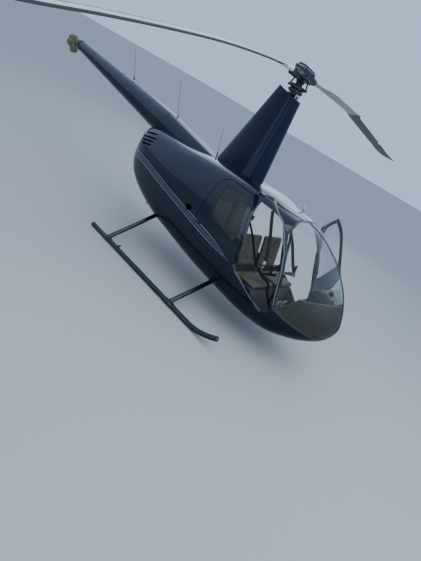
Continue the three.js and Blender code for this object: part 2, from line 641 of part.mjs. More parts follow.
// Aerials on the spine and the boom, each [station, height] from foot to tip
const aerials = [
  ['aerial_front', [-658, 1735], [-790, 2130]],
  ['aerial_middle', [-1712, 1866], [-2010, 2385]],
  ['aerial_rear', [-3072, 1996], [-3345, 2455]],
];
const skinAtAerials = union(podSolid(-0.5), cone(spineFront, spineRear, -0.5), cone(boomRoot, boomEnd, -0.5));
aerials.forEach(([name, foot, tip]) => {
  const [from, to] = [foot, tip].map(([x, z]) => [x, 0, z]);
  const whip = bar(from, to, 7, 3, 8);
  const socket = bar(from, [from[0] - 32, 0, from[2] + 66], 17, 9, 10);
  place(name, union(whip, socket).subtract(skinAtAerials), 'black');
});

place('roof_probe', bar([918, 250, 1730], [868, 250, 1842], 9, 5, 10).subtract(podSolid(-0.5)), 'steel');

export default helicopter;
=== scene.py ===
import math

import bpy
import numpy as np
from mathutils import Matrix, Vector


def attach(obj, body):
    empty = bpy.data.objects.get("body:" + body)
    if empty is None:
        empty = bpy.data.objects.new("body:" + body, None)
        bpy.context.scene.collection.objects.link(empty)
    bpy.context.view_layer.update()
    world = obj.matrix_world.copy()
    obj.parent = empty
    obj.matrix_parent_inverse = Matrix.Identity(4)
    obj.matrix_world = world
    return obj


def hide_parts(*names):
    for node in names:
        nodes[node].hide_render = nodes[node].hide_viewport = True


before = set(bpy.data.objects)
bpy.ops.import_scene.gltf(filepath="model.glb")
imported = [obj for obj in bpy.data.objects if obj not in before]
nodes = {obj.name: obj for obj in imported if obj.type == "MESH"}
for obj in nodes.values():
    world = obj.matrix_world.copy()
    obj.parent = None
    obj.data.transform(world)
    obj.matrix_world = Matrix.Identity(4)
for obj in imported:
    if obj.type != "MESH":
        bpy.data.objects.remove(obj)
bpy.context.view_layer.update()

# Camera at the photograph's viewing angle: low on the right of the nose and
# rolled with the slope, so that the helicopter seems to stand on its chin.
camera_right = Vector((0.641, 0.611, 0.465))
camera_up = Vector((-0.602, 0.023, 0.798))
camera_data = bpy.data.cameras.new("camera")
camera_data.lens = 26.65
camera_data.sensor_width = 36
camera = bpy.data.objects.new("camera", camera_data)
camera_back = camera_right.cross(camera_up).normalized()
camera_up = camera_back.cross(camera_right).normalized()
camera.matrix_world = Matrix.Translation((4.8875, -5.005, 2.588)) @ Matrix(
    (camera_right.normalized(), camera_up, camera_back)).transposed().to_4x4()
bpy.context.scene.collection.objects.link(camera)
bpy.context.scene.camera = camera

# Stage: a pale matt floor under an even pale sky, with large soft lamps over
# the nose, behind, and low on the right.
bpy.ops.mesh.primitive_plane_add(size=400, location=(0, 0, 0))
floor = bpy.context.object
floor.name = "floor"
floor_material = bpy.data.materials.new("pale_floor")
floor_material.use_nodes = True
floor_shader = floor_material.node_tree.nodes["Principled BSDF"]
floor_shader.inputs["Base Color"].default_value = (0.50, 0.48, 0.46, 1)
floor_shader.inputs["Roughness"].default_value = 0.9
floor.data.materials.append(floor_material)

sky = bpy.data.worlds.new("sky")
sky.use_nodes = True
sky_light = sky.node_tree.nodes["Background"]
sky_light.inputs["Color"].default_value = (0.52, 0.71, 1.0, 1)
sky_light.inputs["Strength"].default_value = 0.95
bpy.context.scene.world = sky

lamps = [
    {"name": "lamp_over_nose", "at": (5.5, -1.5, 6.5), "aim": (1.8, 0, 1.2), "size": 7.0, "power": 330},
    {"name": "lamp_behind", "at": (-2.5, 6.0, 6.5), "aim": (0.8, 0, 1.3), "size": 9.0, "power": 180},
    {"name": "lamp_low_right", "at": (1.0, -8.0, 3.0), "aim": (1.2, 0, 1.0), "size": 5.0, "power": 90},
]
for lamp in lamps:
    light = bpy.data.lights.new(lamp["name"], "AREA")
    light.size = lamp["size"]
    light.energy = lamp["power"]
    light.color = (0.82, 0.91, 1.0)
    stand = bpy.data.objects.new(lamp["name"], light)
    stand.location = lamp["at"]
    stand.rotation_euler = (Vector(lamp["aim"]) - Vector(lamp["at"])).to_track_quat("-Z", "Y").to_euler()
    bpy.context.scene.collection.objects.link(stand)

# Skids: aluminium tubes with an upturned toe, painted with the airframe and
# capped at the tail, with steel wear shoes clamped underneath.
mast_x = 1.5375


class Field:
    """A shader socket that sums can be written with."""

    def __init__(self, tree, socket):
        self.tree = tree
        self.socket = socket

    def node(self, kind, settings=(), inputs=(), output=0):
        made = self.tree.nodes.new(kind)
        for name, value in dict(settings).items():
            if name == "stops":
                ramp = made.color_ramp.elements
                while len(ramp) < len(value):
                    ramp.new(1)
                for stop, (at, colour) in zip(ramp, value):
                    stop.position = at
                    stop.color = (*colour, 1)
            else:
                setattr(made, name, value)
        for name, value in dict(inputs).items():
            if isinstance(value, Field):
                self.tree.links.new(value.socket, made.inputs[name])
            else:
                made.inputs[name].default_value = value
        return Field(self.tree, made.outputs[output])

    def maths(self, operation, *values):
        return self.node("ShaderNodeMath", {"operation": operation}, dict(enumerate(values)))

    def __add__(self, other):
        return self.maths("ADD", self, other)

    def __sub__(self, other):
        return self.maths("SUBTRACT", self, other)

    def __rsub__(self, other):
        return self.maths("SUBTRACT", other, self)

    def __mul__(self, other):
        return self.maths("MULTIPLY", self, other)

    __radd__ = __add__
    __rmul__ = __mul__

    def step(self, low, high):
        return self.node("ShaderNodeMapRange", {"interpolation_type": "SMOOTHSTEP"},
                         {"Value": self, "From Min": low, "From Max": high})

    def noise(self, scale, detail=2.0):
        return self.node("ShaderNodeTexNoise", {}, {"Vector": self, "Scale": scale, "Detail": detail})

    def axis(self, number):
        return self.node("ShaderNodeSeparateXYZ", {}, {"Vector": self}, number)

    def mix(self, below, above):
        return self.node("ShaderNodeMix", {"data_type": "RGBA"}, {0: self, 6: below, 7: above}, 2)


def new_finish(name):
    """A named material, its main shader and a field of places on the piece."""
    material = bpy.data.materials.new(name)
    material.use_nodes = True
    tree = material.node_tree
    shader = tree.nodes["Principled BSDF"]
    place = Field(tree, tree.nodes.new("ShaderNodeTexCoord").outputs["Object"])
    return material, shader, place


def feed(shader, name, field):
    shader.id_data.links.new(field.socket, shader.inputs[name])


def bumped(shader, height, distance, strength=1.0):
    feed(shader, "Normal", height.node("ShaderNodeBump", {},
                                       {"Height": height, "Distance": distance, "Strength": strength}))


def gloss_paint(name, colour, dust_and_sky_sheen, shine=0.94):
    """Lacquered paint, lightened in blotches on what faces up by dust and a painted sky sheen, and dull on what
    faces down.
    """
    material, shader, place = new_finish(name)
    upward = place.node("ShaderNodeNewGeometry", {}, {}, 1).axis(2).step(-0.55, 0.45)
    film = place.noise(2.3, 5).step(0.45, 0.75)
    specks = place.noise(95, 3).step(0.62, 0.72)
    # Up-facing faces are mixed towards the second colour in blotches: partly dust, partly a painted sky sheen.
    feed(shader, "Base Color", ((film * 0.2 + specks * 0.1) * upward).mix((*colour, 1), (*dust_and_sky_sheen, 1)))
    feed(shader, "Roughness", 0.13 + 0.2 * film + 0.25 * specks)
    feed(shader, "Coat Weight", 0.06 + upward * shine)
    shader.inputs["Coat Roughness"].default_value = 0.05
    shader.inputs["Specular IOR Level"].default_value = 0.12
    shader.inputs["Specular Tint"].default_value = (0.6, 0.8, 1.0, 1)
    bumped(shader, place.noise(38, 2), 0.0006, 0.25)
    return material


navy = gloss_paint("navy_paint", (0.0032, 0.0066, 0.0150), (0.028, 0.031, 0.036))
scuffed_navy = gloss_paint("scuffed_navy_paint", (0.005, 0.009, 0.018), (0.05, 0.048, 0.044))


def deselect():
    for piece in bpy.context.selected_objects:
        piece.select_set(False)


def active(piece):
    deselect()
    piece.select_set(True)
    bpy.context.view_layer.objects.active = piece


def ahead(x, y, z):
    """A place given by how far it lies ahead of the mast."""
    return (mast_x + x, y, z)


def edited(piece, *steps):
    """Works on the whole of a piece in edit mode, one operator and its settings after another."""
    active(piece)
    bpy.ops.object.mode_set(mode="EDIT")
    for operator, settings in steps:
        bpy.ops.mesh.select_all(action="SELECT")
        operator(**settings)
    bpy.ops.object.mode_set(mode="OBJECT")
    return piece


def through(rows, steps):
    """Points on a smooth curve through rows of numbers of any width."""
    rows = [np.array(row, float) for row in rows]
    rows = [2 * rows[0] - rows[1], *rows, 2 * rows[-1] - rows[-2]]
    curve = []
    for a, b, c, d in zip(rows, rows[1:], rows[2:], rows[3:]):
        t = np.cumsum([0, *(np.linalg.norm(q - p) ** 0.5 for p, q in ((a, b), (b, c), (c, d)))])
        for at in np.linspace(t[1], t[2], steps, endpoint=False):
            ab = a + (b - a) * (at - t[0]) / (t[1] - t[0])
            bc = b + (c - b) * (at - t[1]) / (t[2] - t[1])
            cd = c + (d - c) * (at - t[2]) / (t[3] - t[2])
            first = ab + (bc - ab) * (at - t[0]) / (t[2] - t[0])
            last = bc + (cd - bc) * (at - t[1]) / (t[3] - t[1])
            curve.append(first + (last - first) * (at - t[1]) / (t[2] - t[1]))
    return [*curve, rows[-2]]


def tube(name, points, radius, material=None, body="airframe", sides=20):
    """A round tube along a line of points, with closed ends."""
    line = bpy.data.curves.new(name, "CURVE")
    line.dimensions = "3D"
    spline = line.splines.new("POLY")
    spline.points.add(len(points) - 1)
    for point, at in zip(spline.points, points):
        point.co = (*at, 1)
    line.bevel_depth = radius
    line.bevel_resolution = sides // 4 - 1
    line.use_fill_caps = True
    piece = bpy.data.objects.new(name, line)
    bpy.context.scene.collection.objects.link(piece)
    active(piece)
    bpy.ops.object.convert(target="MESH")
    piece = edited(bpy.context.object, (bpy.ops.mesh.remove_doubles, {"threshold": 0.00001}),
                   (bpy.ops.mesh.normals_make_consistent, {"inside": False}))
    return finished(piece, material, body)


def finished(piece, material, body="airframe", angle=35):
    """Smooth faces, a finish and a body to ride on; the place goes into the mesh."""
    active(piece)
    bpy.ops.object.transform_apply(location=True, rotation=True, scale=True)
    bpy.ops.object.shade_smooth_by_angle(angle=math.radians(angle))
    if material:
        piece.data.materials.clear()
        piece.data.materials.append(material)
    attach(piece, body)
    return piece


both_sides = (("left", 1), ("right", -1))
track = 1.07
skid_radius = 0.035
wheel_lug = -0.637
toe_start, toe_length, toe_rise = mast_x + 0.98, 0.49, 0.15
skid_line = [(mast_x - 1.33, skid_radius), (mast_x - 0.6, skid_radius), (mast_x + 0.3, skid_radius)]
for step in range(13):
    along = step / 12
    skid_line.append((toe_start + toe_length * along, skid_radius + toe_rise * along ** 2))
for side_name, side in both_sides:
    route = [(x, side * track, z) for x, z in skid_line]
    skid = tube(f"skid_tube_{side_name}", route, skid_radius, scuffed_navy, sides=28)
    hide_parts(f"skid_{side_name}")
    upright = [ahead(wheel_lug, side * track, 0.06), ahead(wheel_lug, side * track, 0.092)]
    crosswise = [ahead(wheel_lug, side * track - 0.026, 0.09), ahead(wheel_lug, side * track + 0.026, 0.09)]
    lug = tube(f"skid_wheel_lug_{side_name}", upright, 0.013, scuffed_navy)
    pin = tube(f"skid_wheel_pin_{side_name}", crosswise, 0.010, scuffed_navy)

# Cross tubes: bent steel tubes that run down from under the belly to both
# skids, each end held in a bolted cast fitting on top of the skid.
cross_tubes = [
    {"name": "front", "x": mast_x + 0.6, "belly": 0.44, "belly_z": 0.35, "inner_z": 0.398},
    {"name": "rear", "x": mast_x - 0.92, "belly": 0.38, "belly_z": 0.498, "inner_z": 0.545},
]
for spec in cross_tubes:
    x = spec["x"]
    half = [(x, track, 0.06), (x, (track + spec["belly"]) / 2, (0.05 + spec["belly_z"]) / 2),
            (x, spec["belly"], spec["belly_z"]), (x, spec["belly"] - 0.09, spec["inner_z"])]
    route = half + [(x, 0, spec["inner_z"])] + [(a, -b, c) for a, b, c in reversed(half)]
    cross = tube(f"cross_tube_{spec['name']}_bent", through(route, 8), 0.032, navy, sides=24)
    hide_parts(f"cross_tube_{spec['name']}")
    for side_name, side in both_sides:
        bpy.ops.mesh.primitive_cylinder_add(vertices=32, radius=0.041, depth=0.15, rotation=(0, math.pi / 2, 0),
                                            location=(x, side * track, 0.036))
        shoe = bpy.context.object
        shoe.name = f"skid_saddle_{spec['name']}_{side_name}"
        flat_foot = {"plane_co": (x, 0, 0.024), "plane_no": (0, 0, 1), "clear_inner": True, "use_fill": True}
        edited(shoe, (bpy.ops.mesh.bisect, flat_foot),
               (bpy.ops.mesh.bevel, {"offset": 0.004, "segments": 2, "affect": "EDGES"}))
        finished(shoe, scuffed_navy)

# Nose bowl, belly and cabin frame: thin formed skins over a welded tube
# frame, riveted into one rounded pod with openings for glass and doors.
wall = 0.026
# station ahead of the mast, top, bottom, half width, waist height, squareness above the waist, lean-in
# of the walls there, and the share of the wall's thickness that lies fore and aft
pod_table = [
    (2.285, 0.895, 0.815, 0.030, 0.830, 1.80, 0.210, 1.00),
    (2.255, 0.970, 0.715, 0.125, 0.830, 1.80, 0.210, 0.90),
    (2.190, 1.100, 0.610, 0.225, 0.830, 1.75, 0.200, 0.70),
    (2.085, 1.255, 0.520, 0.315, 0.835, 1.75, 0.190, 0.55),
    (1.955, 1.385, 0.435, 0.385, 0.845, 1.75, 0.180, 0.40),
    (1.800, 1.510, 0.360, 0.450, 0.855, 1.80, 0.160, 0.30),
    (1.620, 1.605, 0.290, 0.510, 0.870, 2.20, 0.140, 0.20),
    (1.400, 1.695, 0.255, 0.570, 0.895, 2.85, 0.120, 0.10),
    (1.150, 1.745, 0.250, 0.625, 0.920, 3.50, 0.110, 0.00),
    (0.850, 1.770, 0.270, 0.655, 0.940, 3.90, 0.120, 0.00),
    (0.500, 1.805, 0.295, 0.665, 0.955, 4.40, 0.130, 0.00),
    (0.150, 1.795, 0.325, 0.660, 0.960, 4.40, 0.135, 0.00),
    (-0.200, 1.765, 0.370, 0.650, 0.975, 4.30, 0.130, 0.00),
    (-0.550, 1.730, 0.415, 0.630, 0.990, 4.20, 0.120, 0.00),
    (-0.950, 1.685, 0.475, 0.605, 1.015, 4.00, 0.105, 0.00),
    (-1.350, 1.660, 0.575, 0.555, 1.070, 4.00, 0.090, -0.10),
    (-1.650, 1.645, 0.695, 0.495, 1.125, 4.00, 0.080, -0.30),
    (-1.870, 1.610, 0.840, 0.400, 1.190, 4.00, 0.070, -0.60),
    (-2.000, 1.520, 1.000, 0.270, 1.240, 4.00, 0.065, -1.00),
]
pod_rows = through(pod_table, 7)
belly_square = 2.8
lean_round, full_lean = 0.03, 1.842


def lean(tuck, lift):
    """How far the walls lean in at a height, as a share of the half width."""
    return 1 - tuck * (lift + math.sqrt(lift * lift + lean_round) - math.sqrt(lean_round)) / full_lean


def pod_point(row, angle, inset):
    """A point of the skin, or inset behind it, on one section."""
    x, top, bottom, half, waist, square, tuck, turn = row
    across = inset * math.sqrt(max(0, 1 - turn * turn))
    power = square if math.sin(angle) > 0 else belly_square
    spread = (abs(math.cos(angle)) ** power + abs(math.sin(angle)) ** power) ** (-1 / power)
    lift = math.sin(angle) * spread
    rise = top - waist - across if lift > 0 else waist - bottom - across
    reach_out = (half - across) * math.cos(angle) * spread * lean(tuck, max(0, lift))
    return Vector((mast_x + x - inset * turn, reach_out, waist + rise * lift))


def section_at(x):
    """The pod's section at one place along the frame's x axis."""
    rows = np.array(pod_rows)[::-1]
    return [np.interp(x - mast_x, rows[:, 0], rows[:, column]) for column in range(8)]


def side_y(x, z, proud=0.0):
    """Half width of the skin at a place along it and a height."""
    _, top, bottom, half, waist, square, tuck, _ = section_at(x)
    power = square if z > waist else belly_square
    lift = (z - waist) / ((top if z > waist else waist * 2 - bottom) - waist)
    reach = max(0, 1 - min(1, abs(lift)) ** power) ** (1 / power)
    return half * reach * lean(tuck, max(0, lift)) + proud


def pod_solid(name, inset, sides=96, every=1):
    """The whole pod as one closed form, shaped from a sphere whose axis runs from nose to tail."""
    rows = pod_rows[::every]
    bpy.ops.mesh.primitive_uv_sphere_add(segments=sides, ring_count=len(rows) + 1)
    piece = bpy.context.object
    piece.name = name
    last = len(rows) + 1
    for vertex in piece.data.vertices:
        ring = round(math.acos(max(-1, min(1, vertex.co.z))) / math.pi * last)
        if ring in (0, last):
            end = rows[0] if ring == 0 else rows[-1]
            vertex.co = (mast_x + end[0] - inset * end[7], 0, (end[1] + end[2]) / 2)
        else:
            vertex.co = pod_point(rows[ring - 1], math.atan2(vertex.co.y, vertex.co.x), inset)
    return outward(piece)


def outward(piece):
    """Turns every face of a closed form outwards."""
    return edited(piece, (bpy.ops.mesh.normals_make_consistent, {"inside": False}))


def slab(outline, y_from, y_to):
    """A thick plate between two y values, its outline given in the side view."""
    plate = bpy.data.meshes.new("slab")
    plate.from_pydata([(x, y_from, z) for x, z in outline], [], [list(range(len(outline)))])
    piece = bpy.data.objects.new("slab", plate)
    bpy.context.scene.collection.objects.link(piece)
    pull = {"TRANSFORM_OT_translate": {"value": (0, y_to - y_from, 0)}}
    return outward(edited(piece, (bpy.ops.mesh.extrude_region_move, pull)))


def combined(piece, other, operation, keep=False):
    """Cuts, joins or crosses a closed form with another one."""
    active(piece)
    modifier = piece.modifiers.new("cut", "BOOLEAN")
    modifier.operation = operation
    modifier.solver = "MANIFOLD"
    modifier.object = other
    bpy.ops.object.modifier_apply(modifier=modifier.name)
    if not keep:
        bpy.data.objects.remove(other)
    return piece


def copied(piece, name):
    """A copy with a mesh of its own."""
    twin = piece.copy()
    twin.data = piece.data.copy()
    twin.name = name
    bpy.context.scene.collection.objects.link(twin)
    return twin


def stations(outline):
    """An outline given ahead of the mast, moved to the frame."""
    return [(mast_x + x, z) for x, z in outline]


def rounded(outline, radius, steps=3):
    """An outline with its corners eased by short curves."""
    eased = []
    for before, corner, after in zip(outline[-1:] + outline[:-1], outline, outline[1:] + outline[:1]):
        corner = Vector(corner)
        ends = []
        for other in (before, after):
            arm = Vector(other) - corner
            ends.append(corner + arm * min(radius / arm.length, 0.4))
        for step in range(steps + 1):
            at = step / steps
            eased.append(tuple(ends[0] * (1 - at) ** 2 + corner * 2 * at * (1 - at) + ends[1] * at ** 2))
    return eased


def around(outline, margin):
    """The same outline moved outwards by a margin, or inwards where it is negative."""
    corners = [Vector(corner) for corner in outline]
    area = sum(a.x * b.y - b.x * a.y for a, b in zip(corners, corners[1:] + corners[:1]))
    moved = []
    for before, corner, after in zip(corners[-1:] + corners[:-1], corners, corners[1:] + corners[:1]):
        first = (corner - before).normalized()
        second = (after - corner).normalized()
        mitre = Vector((first.y + second.y, -first.x - second.x))
        moved.append(tuple(corner + mitre * math.copysign(margin * 2, area * margin) / mitre.length_squared))
    return moved


front_door = stations([
    (1.490, 0.575), (1.550, 0.590), (1.585, 0.650), (1.575, 0.745), (1.495, 0.985), (1.440, 1.140),
    (1.330, 1.350), (1.185, 1.530), (1.090, 1.620), (1.000, 1.655), (0.900, 1.670), (0.670, 1.685),
    (0.725, 1.490), (0.835, 1.220), (0.915, 0.970), (0.915, 0.890), (0.965, 0.820), (1.105, 0.760),
    (1.300, 0.665),
])
front_window = stations([
    (1.465, 1.000), (1.410, 1.140), (1.305, 1.340), (1.165, 1.505), (1.075, 1.590), (0.995, 1.625),
    (0.900, 1.638), (0.725, 1.645), (0.770, 1.490), (0.880, 1.220), (0.945, 1.060),
])
rear_door = stations([
    (0.880, 0.890), (0.880, 0.965), (0.800, 1.220), (0.690, 1.490), (0.635, 1.690), (0.590, 1.705),
    (0.150, 1.700), (0.045, 1.650), (0.005, 1.500), (0.005, 1.100), (0.045, 0.900), (0.110, 0.825),
    (0.220, 0.795), (0.780, 0.795), (0.850, 0.825),
])
rear_window = stations([
    (0.150, 1.625), (0.530, 1.635), (0.575, 1.575), (0.620, 1.435), (0.700, 1.280), (0.720, 1.150),
    (0.700, 1.115), (0.530, 1.140), (0.315, 1.175), (0.225, 1.195), (0.205, 1.230),
])
windscreen = stations([
    (1.620, 0.750), (1.540, 0.985), (1.485, 1.140), (1.375, 1.350), (1.290, 1.460), (1.230, 1.545),
    (1.210, 1.600), (1.215, 1.640), (1.180, 1.700), (1.170, 1.745), (1.170, 1.900), (2.400, 1.900),
    (2.400, 0.660), (2.220, 0.670), (2.125, 0.680), (1.990, 0.690), (1.770, 0.715),
])
front_door, front_window = rounded(front_door, 0.018), rounded(front_window, 0.018)
rear_door, rear_window = rounded(rear_door, 0.03), rounded(rear_window, 0.03)
reach = 0.9
inner_reach = 0.25
gap = 0.0006


def side_slab(outline, side):
    return slab(outline, side * inner_reach, side * reach)


def inside_share(x, y, z):
    """How far out a point lies: 1 on the skin, less inside."""
    _, top, bottom, half, waist, square, tuck, _ = section_at(x)
    power = square if z > waist else belly_square
    lift = (z - waist) / ((top - waist) if z > waist else (waist - bottom))
    across = abs(y) / (half * lean(tuck, max(0, lift)))
    return (across ** power + abs(lift) ** power) ** (1 / power)


def lined(piece, lining):
    """Gives the inner faces of a skin the finish of its lining."""
    piece.data.materials.append(lining)
    for face in piece.data.polygons:
        if inside_share(*face.center) < 0.975:
            face.material_index = 1


cabin_lining = gloss_paint("cabin_lining", (0.10, 0.095, 0.09), (0.15, 0.14, 0.13))
pod_outer = pod_solid("pod_outer", 0)
pod_inner = pod_solid("pod_inner", wall, 64, 2)
skin = combined(copied(pod_outer, "skin"), pod_inner, "DIFFERENCE", keep=True)


def region(x_from, x_to, z_from, z_to, y_from=-reach, y_to=reach):
    """A box through the pod, smaller by half a joint all round."""
    return slab([(x_from + gap, z_from + gap), (x_to - gap, z_from + gap), (x_to - gap, z_to - gap),
                 (x_from + gap, z_to - gap)], y_from, y_to)


openings = [slab(windscreen, -reach, reach)]
for side in (1, -1):
    openings += [side_slab(front_door, side), side_slab(rear_door, side)]
cross_holes = []
for spec in cross_tubes:
    hole = copied(bpy.data.objects[f"cross_tube_{spec['name']}_bent"], "hole")
    middle = Matrix.Translation((spec["x"], 0, spec["inner_z"]))
    hole.data.transform(middle @ Matrix.Diagonal((1.08, 1, 1.08, 1)) @ middle.inverted())
    cross_holes.append(hole)

waterline = 0.76
firewall = mast_x - 0.06
nose_joint = mast_x + 1.69
panels = [
    ("nose_bowl", nose_joint, 4.0, 0.0, 2.1),
    ("belly_shell", firewall, nose_joint, 0.0, waterline),
    ("cabin_frame", firewall, nose_joint, waterline, 2.1),
]
for name, *limits in panels:
    panel = combined(copied(skin, f"{name}_skin"), region(*limits), "INTERSECT")
    for opening in openings + cross_holes:
        combined(panel, opening, "DIFFERENCE", keep=True)
    finished(panel, navy, angle=30)
    lined(panel, cabin_lining)
    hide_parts(name)

# Cabin floor, bulkhead and seat boxes: flat sheet boxes riveted to the floor
# frame, the floor and the boxes covered in worn dark carpet.
def carpet_pile(name, colour, worn):
    material, shader, place = new_finish(name)
    tufts = place.noise(420, 2)
    trodden = place.noise(5, 4).step(0.45, 0.7)
    feed(shader, "Base Color", (trodden * 0.6 + tufts * 0.5).mix((*colour, 1), (*worn, 1)))
    shader.inputs["Roughness"].default_value = 0.95
    shader.inputs["Sheen Weight"].default_value = 0.25
    bumped(shader, tufts, 0.003, 0.8)
    return material


carpet = carpet_pile("brown_carpet", (0.011, 0.011, 0.011), (0.026, 0.024, 0.022))
box_cloth = carpet_pile("seat_box_carpet", (0.010, 0.010, 0.010), (0.026, 0.022, 0.019))
for node in ("cabin_floor", "console_pedestal"):
    nodes[node].data.materials[0] = carpet
for node in ("seat_box_front", "seat_box_rear"):
    nodes[node].data.materials[0] = box_cloth
felt = carpet_pile("bulkhead_felt", (0.06, 0.055, 0.05), (0.1, 0.09, 0.08))
nodes["rear_bulkhead"].data.materials[0] = felt

# Seats: foam pads in leather, sewn with two seams across each and a welt
# round its edge, lying on the boxes and against sheet backs.
def leather_hide(name, colour, creased):
    material, shader, place = new_finish(name)
    pores = place.node("ShaderNodeTexVoronoi", {"feature": "DISTANCE_TO_EDGE"},
                       {"Vector": place, "Scale": 260})
    creases = place.noise(24, 6).step(0.42, 0.68)
    rubbed = place.noise(6, 3).step(0.5, 0.75)
    feed(shader, "Base Color", (creases * 0.5 + rubbed * 0.3).mix((*colour, 1), (*creased, 1)))
    feed(shader, "Roughness", 0.42 + creases * 0.2)
    bumped(shader, pores.step(0.0, 0.25) + creases * 0.8, 0.0008, 0.5)
    return material


weathered_leather = leather_hide("weathered_leather", (0.100, 0.078, 0.052), (0.055, 0.043, 0.030))
tan_leather = leather_hide("tan_leather", (0.150, 0.075, 0.036), (0.085, 0.042, 0.022))
piping_leather = leather_hide("piping_leather", (0.060, 0.050, 0.040), (0.035, 0.028, 0.022))


def block(name, low, high, bevel):
    """A block between two opposite corners with eased edges."""
    low, high = Vector(map(min, low, high)), Vector(map(max, low, high))
    bpy.ops.mesh.primitive_cube_add(size=1, location=(low + high) / 2)
    piece = bpy.context.object
    piece.name = name
    piece.scale = high - low
    active(piece)
    bpy.ops.object.transform_apply(location=True, rotation=True, scale=True)
    return edited(piece, (bpy.ops.mesh.bevel, {"offset": bevel, "segments": 3, "affect": "EDGES"}))


def stuffed(name, low, high, seams, cap=0.016):
    """A pad that swells between its seams under pressure. Its thin direction is its third axis."""
    margin = Vector((0.012, 0.012, 0.012))
    pad = block(name, Vector(low) + margin, Vector(high) - margin, 0.022)
    remesh = pad.modifiers.new("remesh", "REMESH")
    remesh.mode = "VOXEL"
    remesh.voxel_size = 0.0085
    active(pad)
    bpy.ops.object.modifier_apply(modifier="remesh")
    sewn = pad.vertex_groups.new(name="sewn")
    middle = (low[2] + high[2]) / 2
    for vertex in pad.data.vertices:
        x, y, z = vertex.co
        on_seam = any(abs(x - at) < 0.006 for at in seams) and z > middle
        on_edge = abs(z - middle) < 0.006
        if on_seam or on_edge:
            sewn.add([vertex.index], 1.0, "REPLACE")
    cloth = pad.modifiers.new("cloth", "CLOTH")
    cloth.settings.use_pressure = True
    cloth.settings.uniform_pressure_force = 4
    cloth.settings.effector_weights.gravity = 0
    cloth.settings.vertex_group_mass = "sewn"
    start = [vertex.co.copy() for vertex in pad.data.vertices]
    for step in range(1, 21):
        bpy.context.scene.frame_set(step)
    active(pad)
    bpy.ops.object.modifier_apply(modifier="cloth")
    bpy.context.scene.frame_set(1)
    for vertex, was in zip(pad.data.vertices, start):
        moved = vertex.co - was
        if moved.length > cap:
            vertex.co = was + moved.normalized() * cap
    smooth = pad.modifiers.new("round", "SUBSURF")
    smooth.levels = smooth.render_levels = 1
    active(pad)
    bpy.ops.object.modifier_apply(modifier="round")
    return pad


def welt(name, low, high, z):
    """A thin piped edge round a pad."""
    corner = 0.03
    route = []
    inner_low, inner_high = (low[0] + corner, low[1] + corner), (high[0] - corner, high[1] - corner)
    corners = [inner_high, (inner_low[0], inner_high[1]), inner_low, (inner_high[0], inner_low[1])]
    for turn, (x, y) in enumerate(corners):
        centre = Vector((x, y, z))
        for step in range(7):
            angle = math.pi / 2 * (turn + step / 6)
            route.append(centre + Vector((math.cos(angle), math.sin(angle), 0)) * corner)
    return tube(name, [*route, route[0]], 0.0045, sides=12)


seat_pitch = 0.28
seat_rows = [
    {"name": "front", "half": 0.26, "cushion": (mast_x + 0.895, mast_x + 1.270, 0.716, 0.800),
     "foot": (mast_x + 0.805, 0.745), "top": 1.225, "rake": -0.135, "hide": weathered_leather},
    {"name": "rear", "half": 0.26, "cushion": (mast_x + 0.145, mast_x + 0.400, 0.766, 0.850),
     "foot": (mast_x + 0.03, 0.85), "top": 1.37, "rake": -0.04, "hide": tan_leather},
]
back_thick = 0.085
for row in seat_rows:
    x_from, x_to, z_from, z_to = row["cushion"]
    half = row["half"]
    foot_x, foot_z = row["foot"]
    tall = math.hypot(row["top"] - foot_z, row["rake"])
    low, high = (x_from, -half, z_from), (x_to, half, z_to)
    cushion = stuffed("cushion", low, high, [(x_from + x_to) / 2 - 0.02, x_to - 0.06])
    edge = welt("welt", (x_from + 0.010, -half + 0.010), (x_to - 0.010, half - 0.010), (z_from + z_to) / 2)
    back_low, back_high = (0, -half + 0.015, 0), (tall, half - 0.015, back_thick)
    back = stuffed("back", back_low, back_high, [tall * 0.3, tall * 0.72])
    back_edge = welt("welt", (0.010, -half + 0.025), (tall - 0.010, half - 0.025), back_thick / 2)
    rake = Matrix.Rotation(math.atan2(row["rake"], row["top"] - foot_z), 4, "Y")
    upright = Matrix(((0, 0, 1, 0), (0, 1, 0, 0), (1, 0, 0, 0), (0, 0, 0, 1)))
    stand = Matrix.Translation((foot_x, 0, foot_z)) @ rake @ upright
    for piece in (back, back_edge):
        piece.data.transform(stand)
        piece.data.flip_normals()
    for side_name, side in both_sides:
        shift = Matrix.Translation((0, side * seat_pitch, 0))
        for kind, pad, edging in (("cushion", cushion, edge), ("back", back, back_edge)):
            sewn_pad = copied(pad, f"seat_{kind}_{row['name']}_{side_name}_pad")
            piping = copied(edging, f"seat_{kind}_{row['name']}_{side_name}_welt")
            for piece, hide in ((sewn_pad, row["hide"]), (piping, piping_leather)):
                piece.data.transform(shift)
                finished(piece, hide, angle=180)
            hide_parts(f"seat_{kind}_{row['name']}_{side_name}")
    for piece in (cushion, edge, back, back_edge):
        bpy.data.objects.remove(piece)

# Instrument console: a dark moulded shield over the dials, on a carpeted
# pedestal, and a pale grey head on it with an air hole in each flank.
def moulded(name, colour, roughness):
    material, shader, place = new_finish(name)
    grain = place.noise(300, 2)
    scuffs = place.noise(11, 5).step(0.5, 0.75)
    feed(shader, "Base Color", (scuffs * 0.4).mix((*colour, 1), (*(c * 0.6 for c in colour), 1)))
    feed(shader, "Roughness", roughness + scuffs * 0.15)
    bumped(shader, grain, 0.0005, 0.35)
    return material


pale_grey = moulded("head_grey", (0.23, 0.24, 0.24), 0.5)
shield_grey = moulded("shield_grey", (0.026, 0.029, 0.027), 0.75)
matt_black = moulded("matt_black", (0.010, 0.010, 0.011), 0.45)


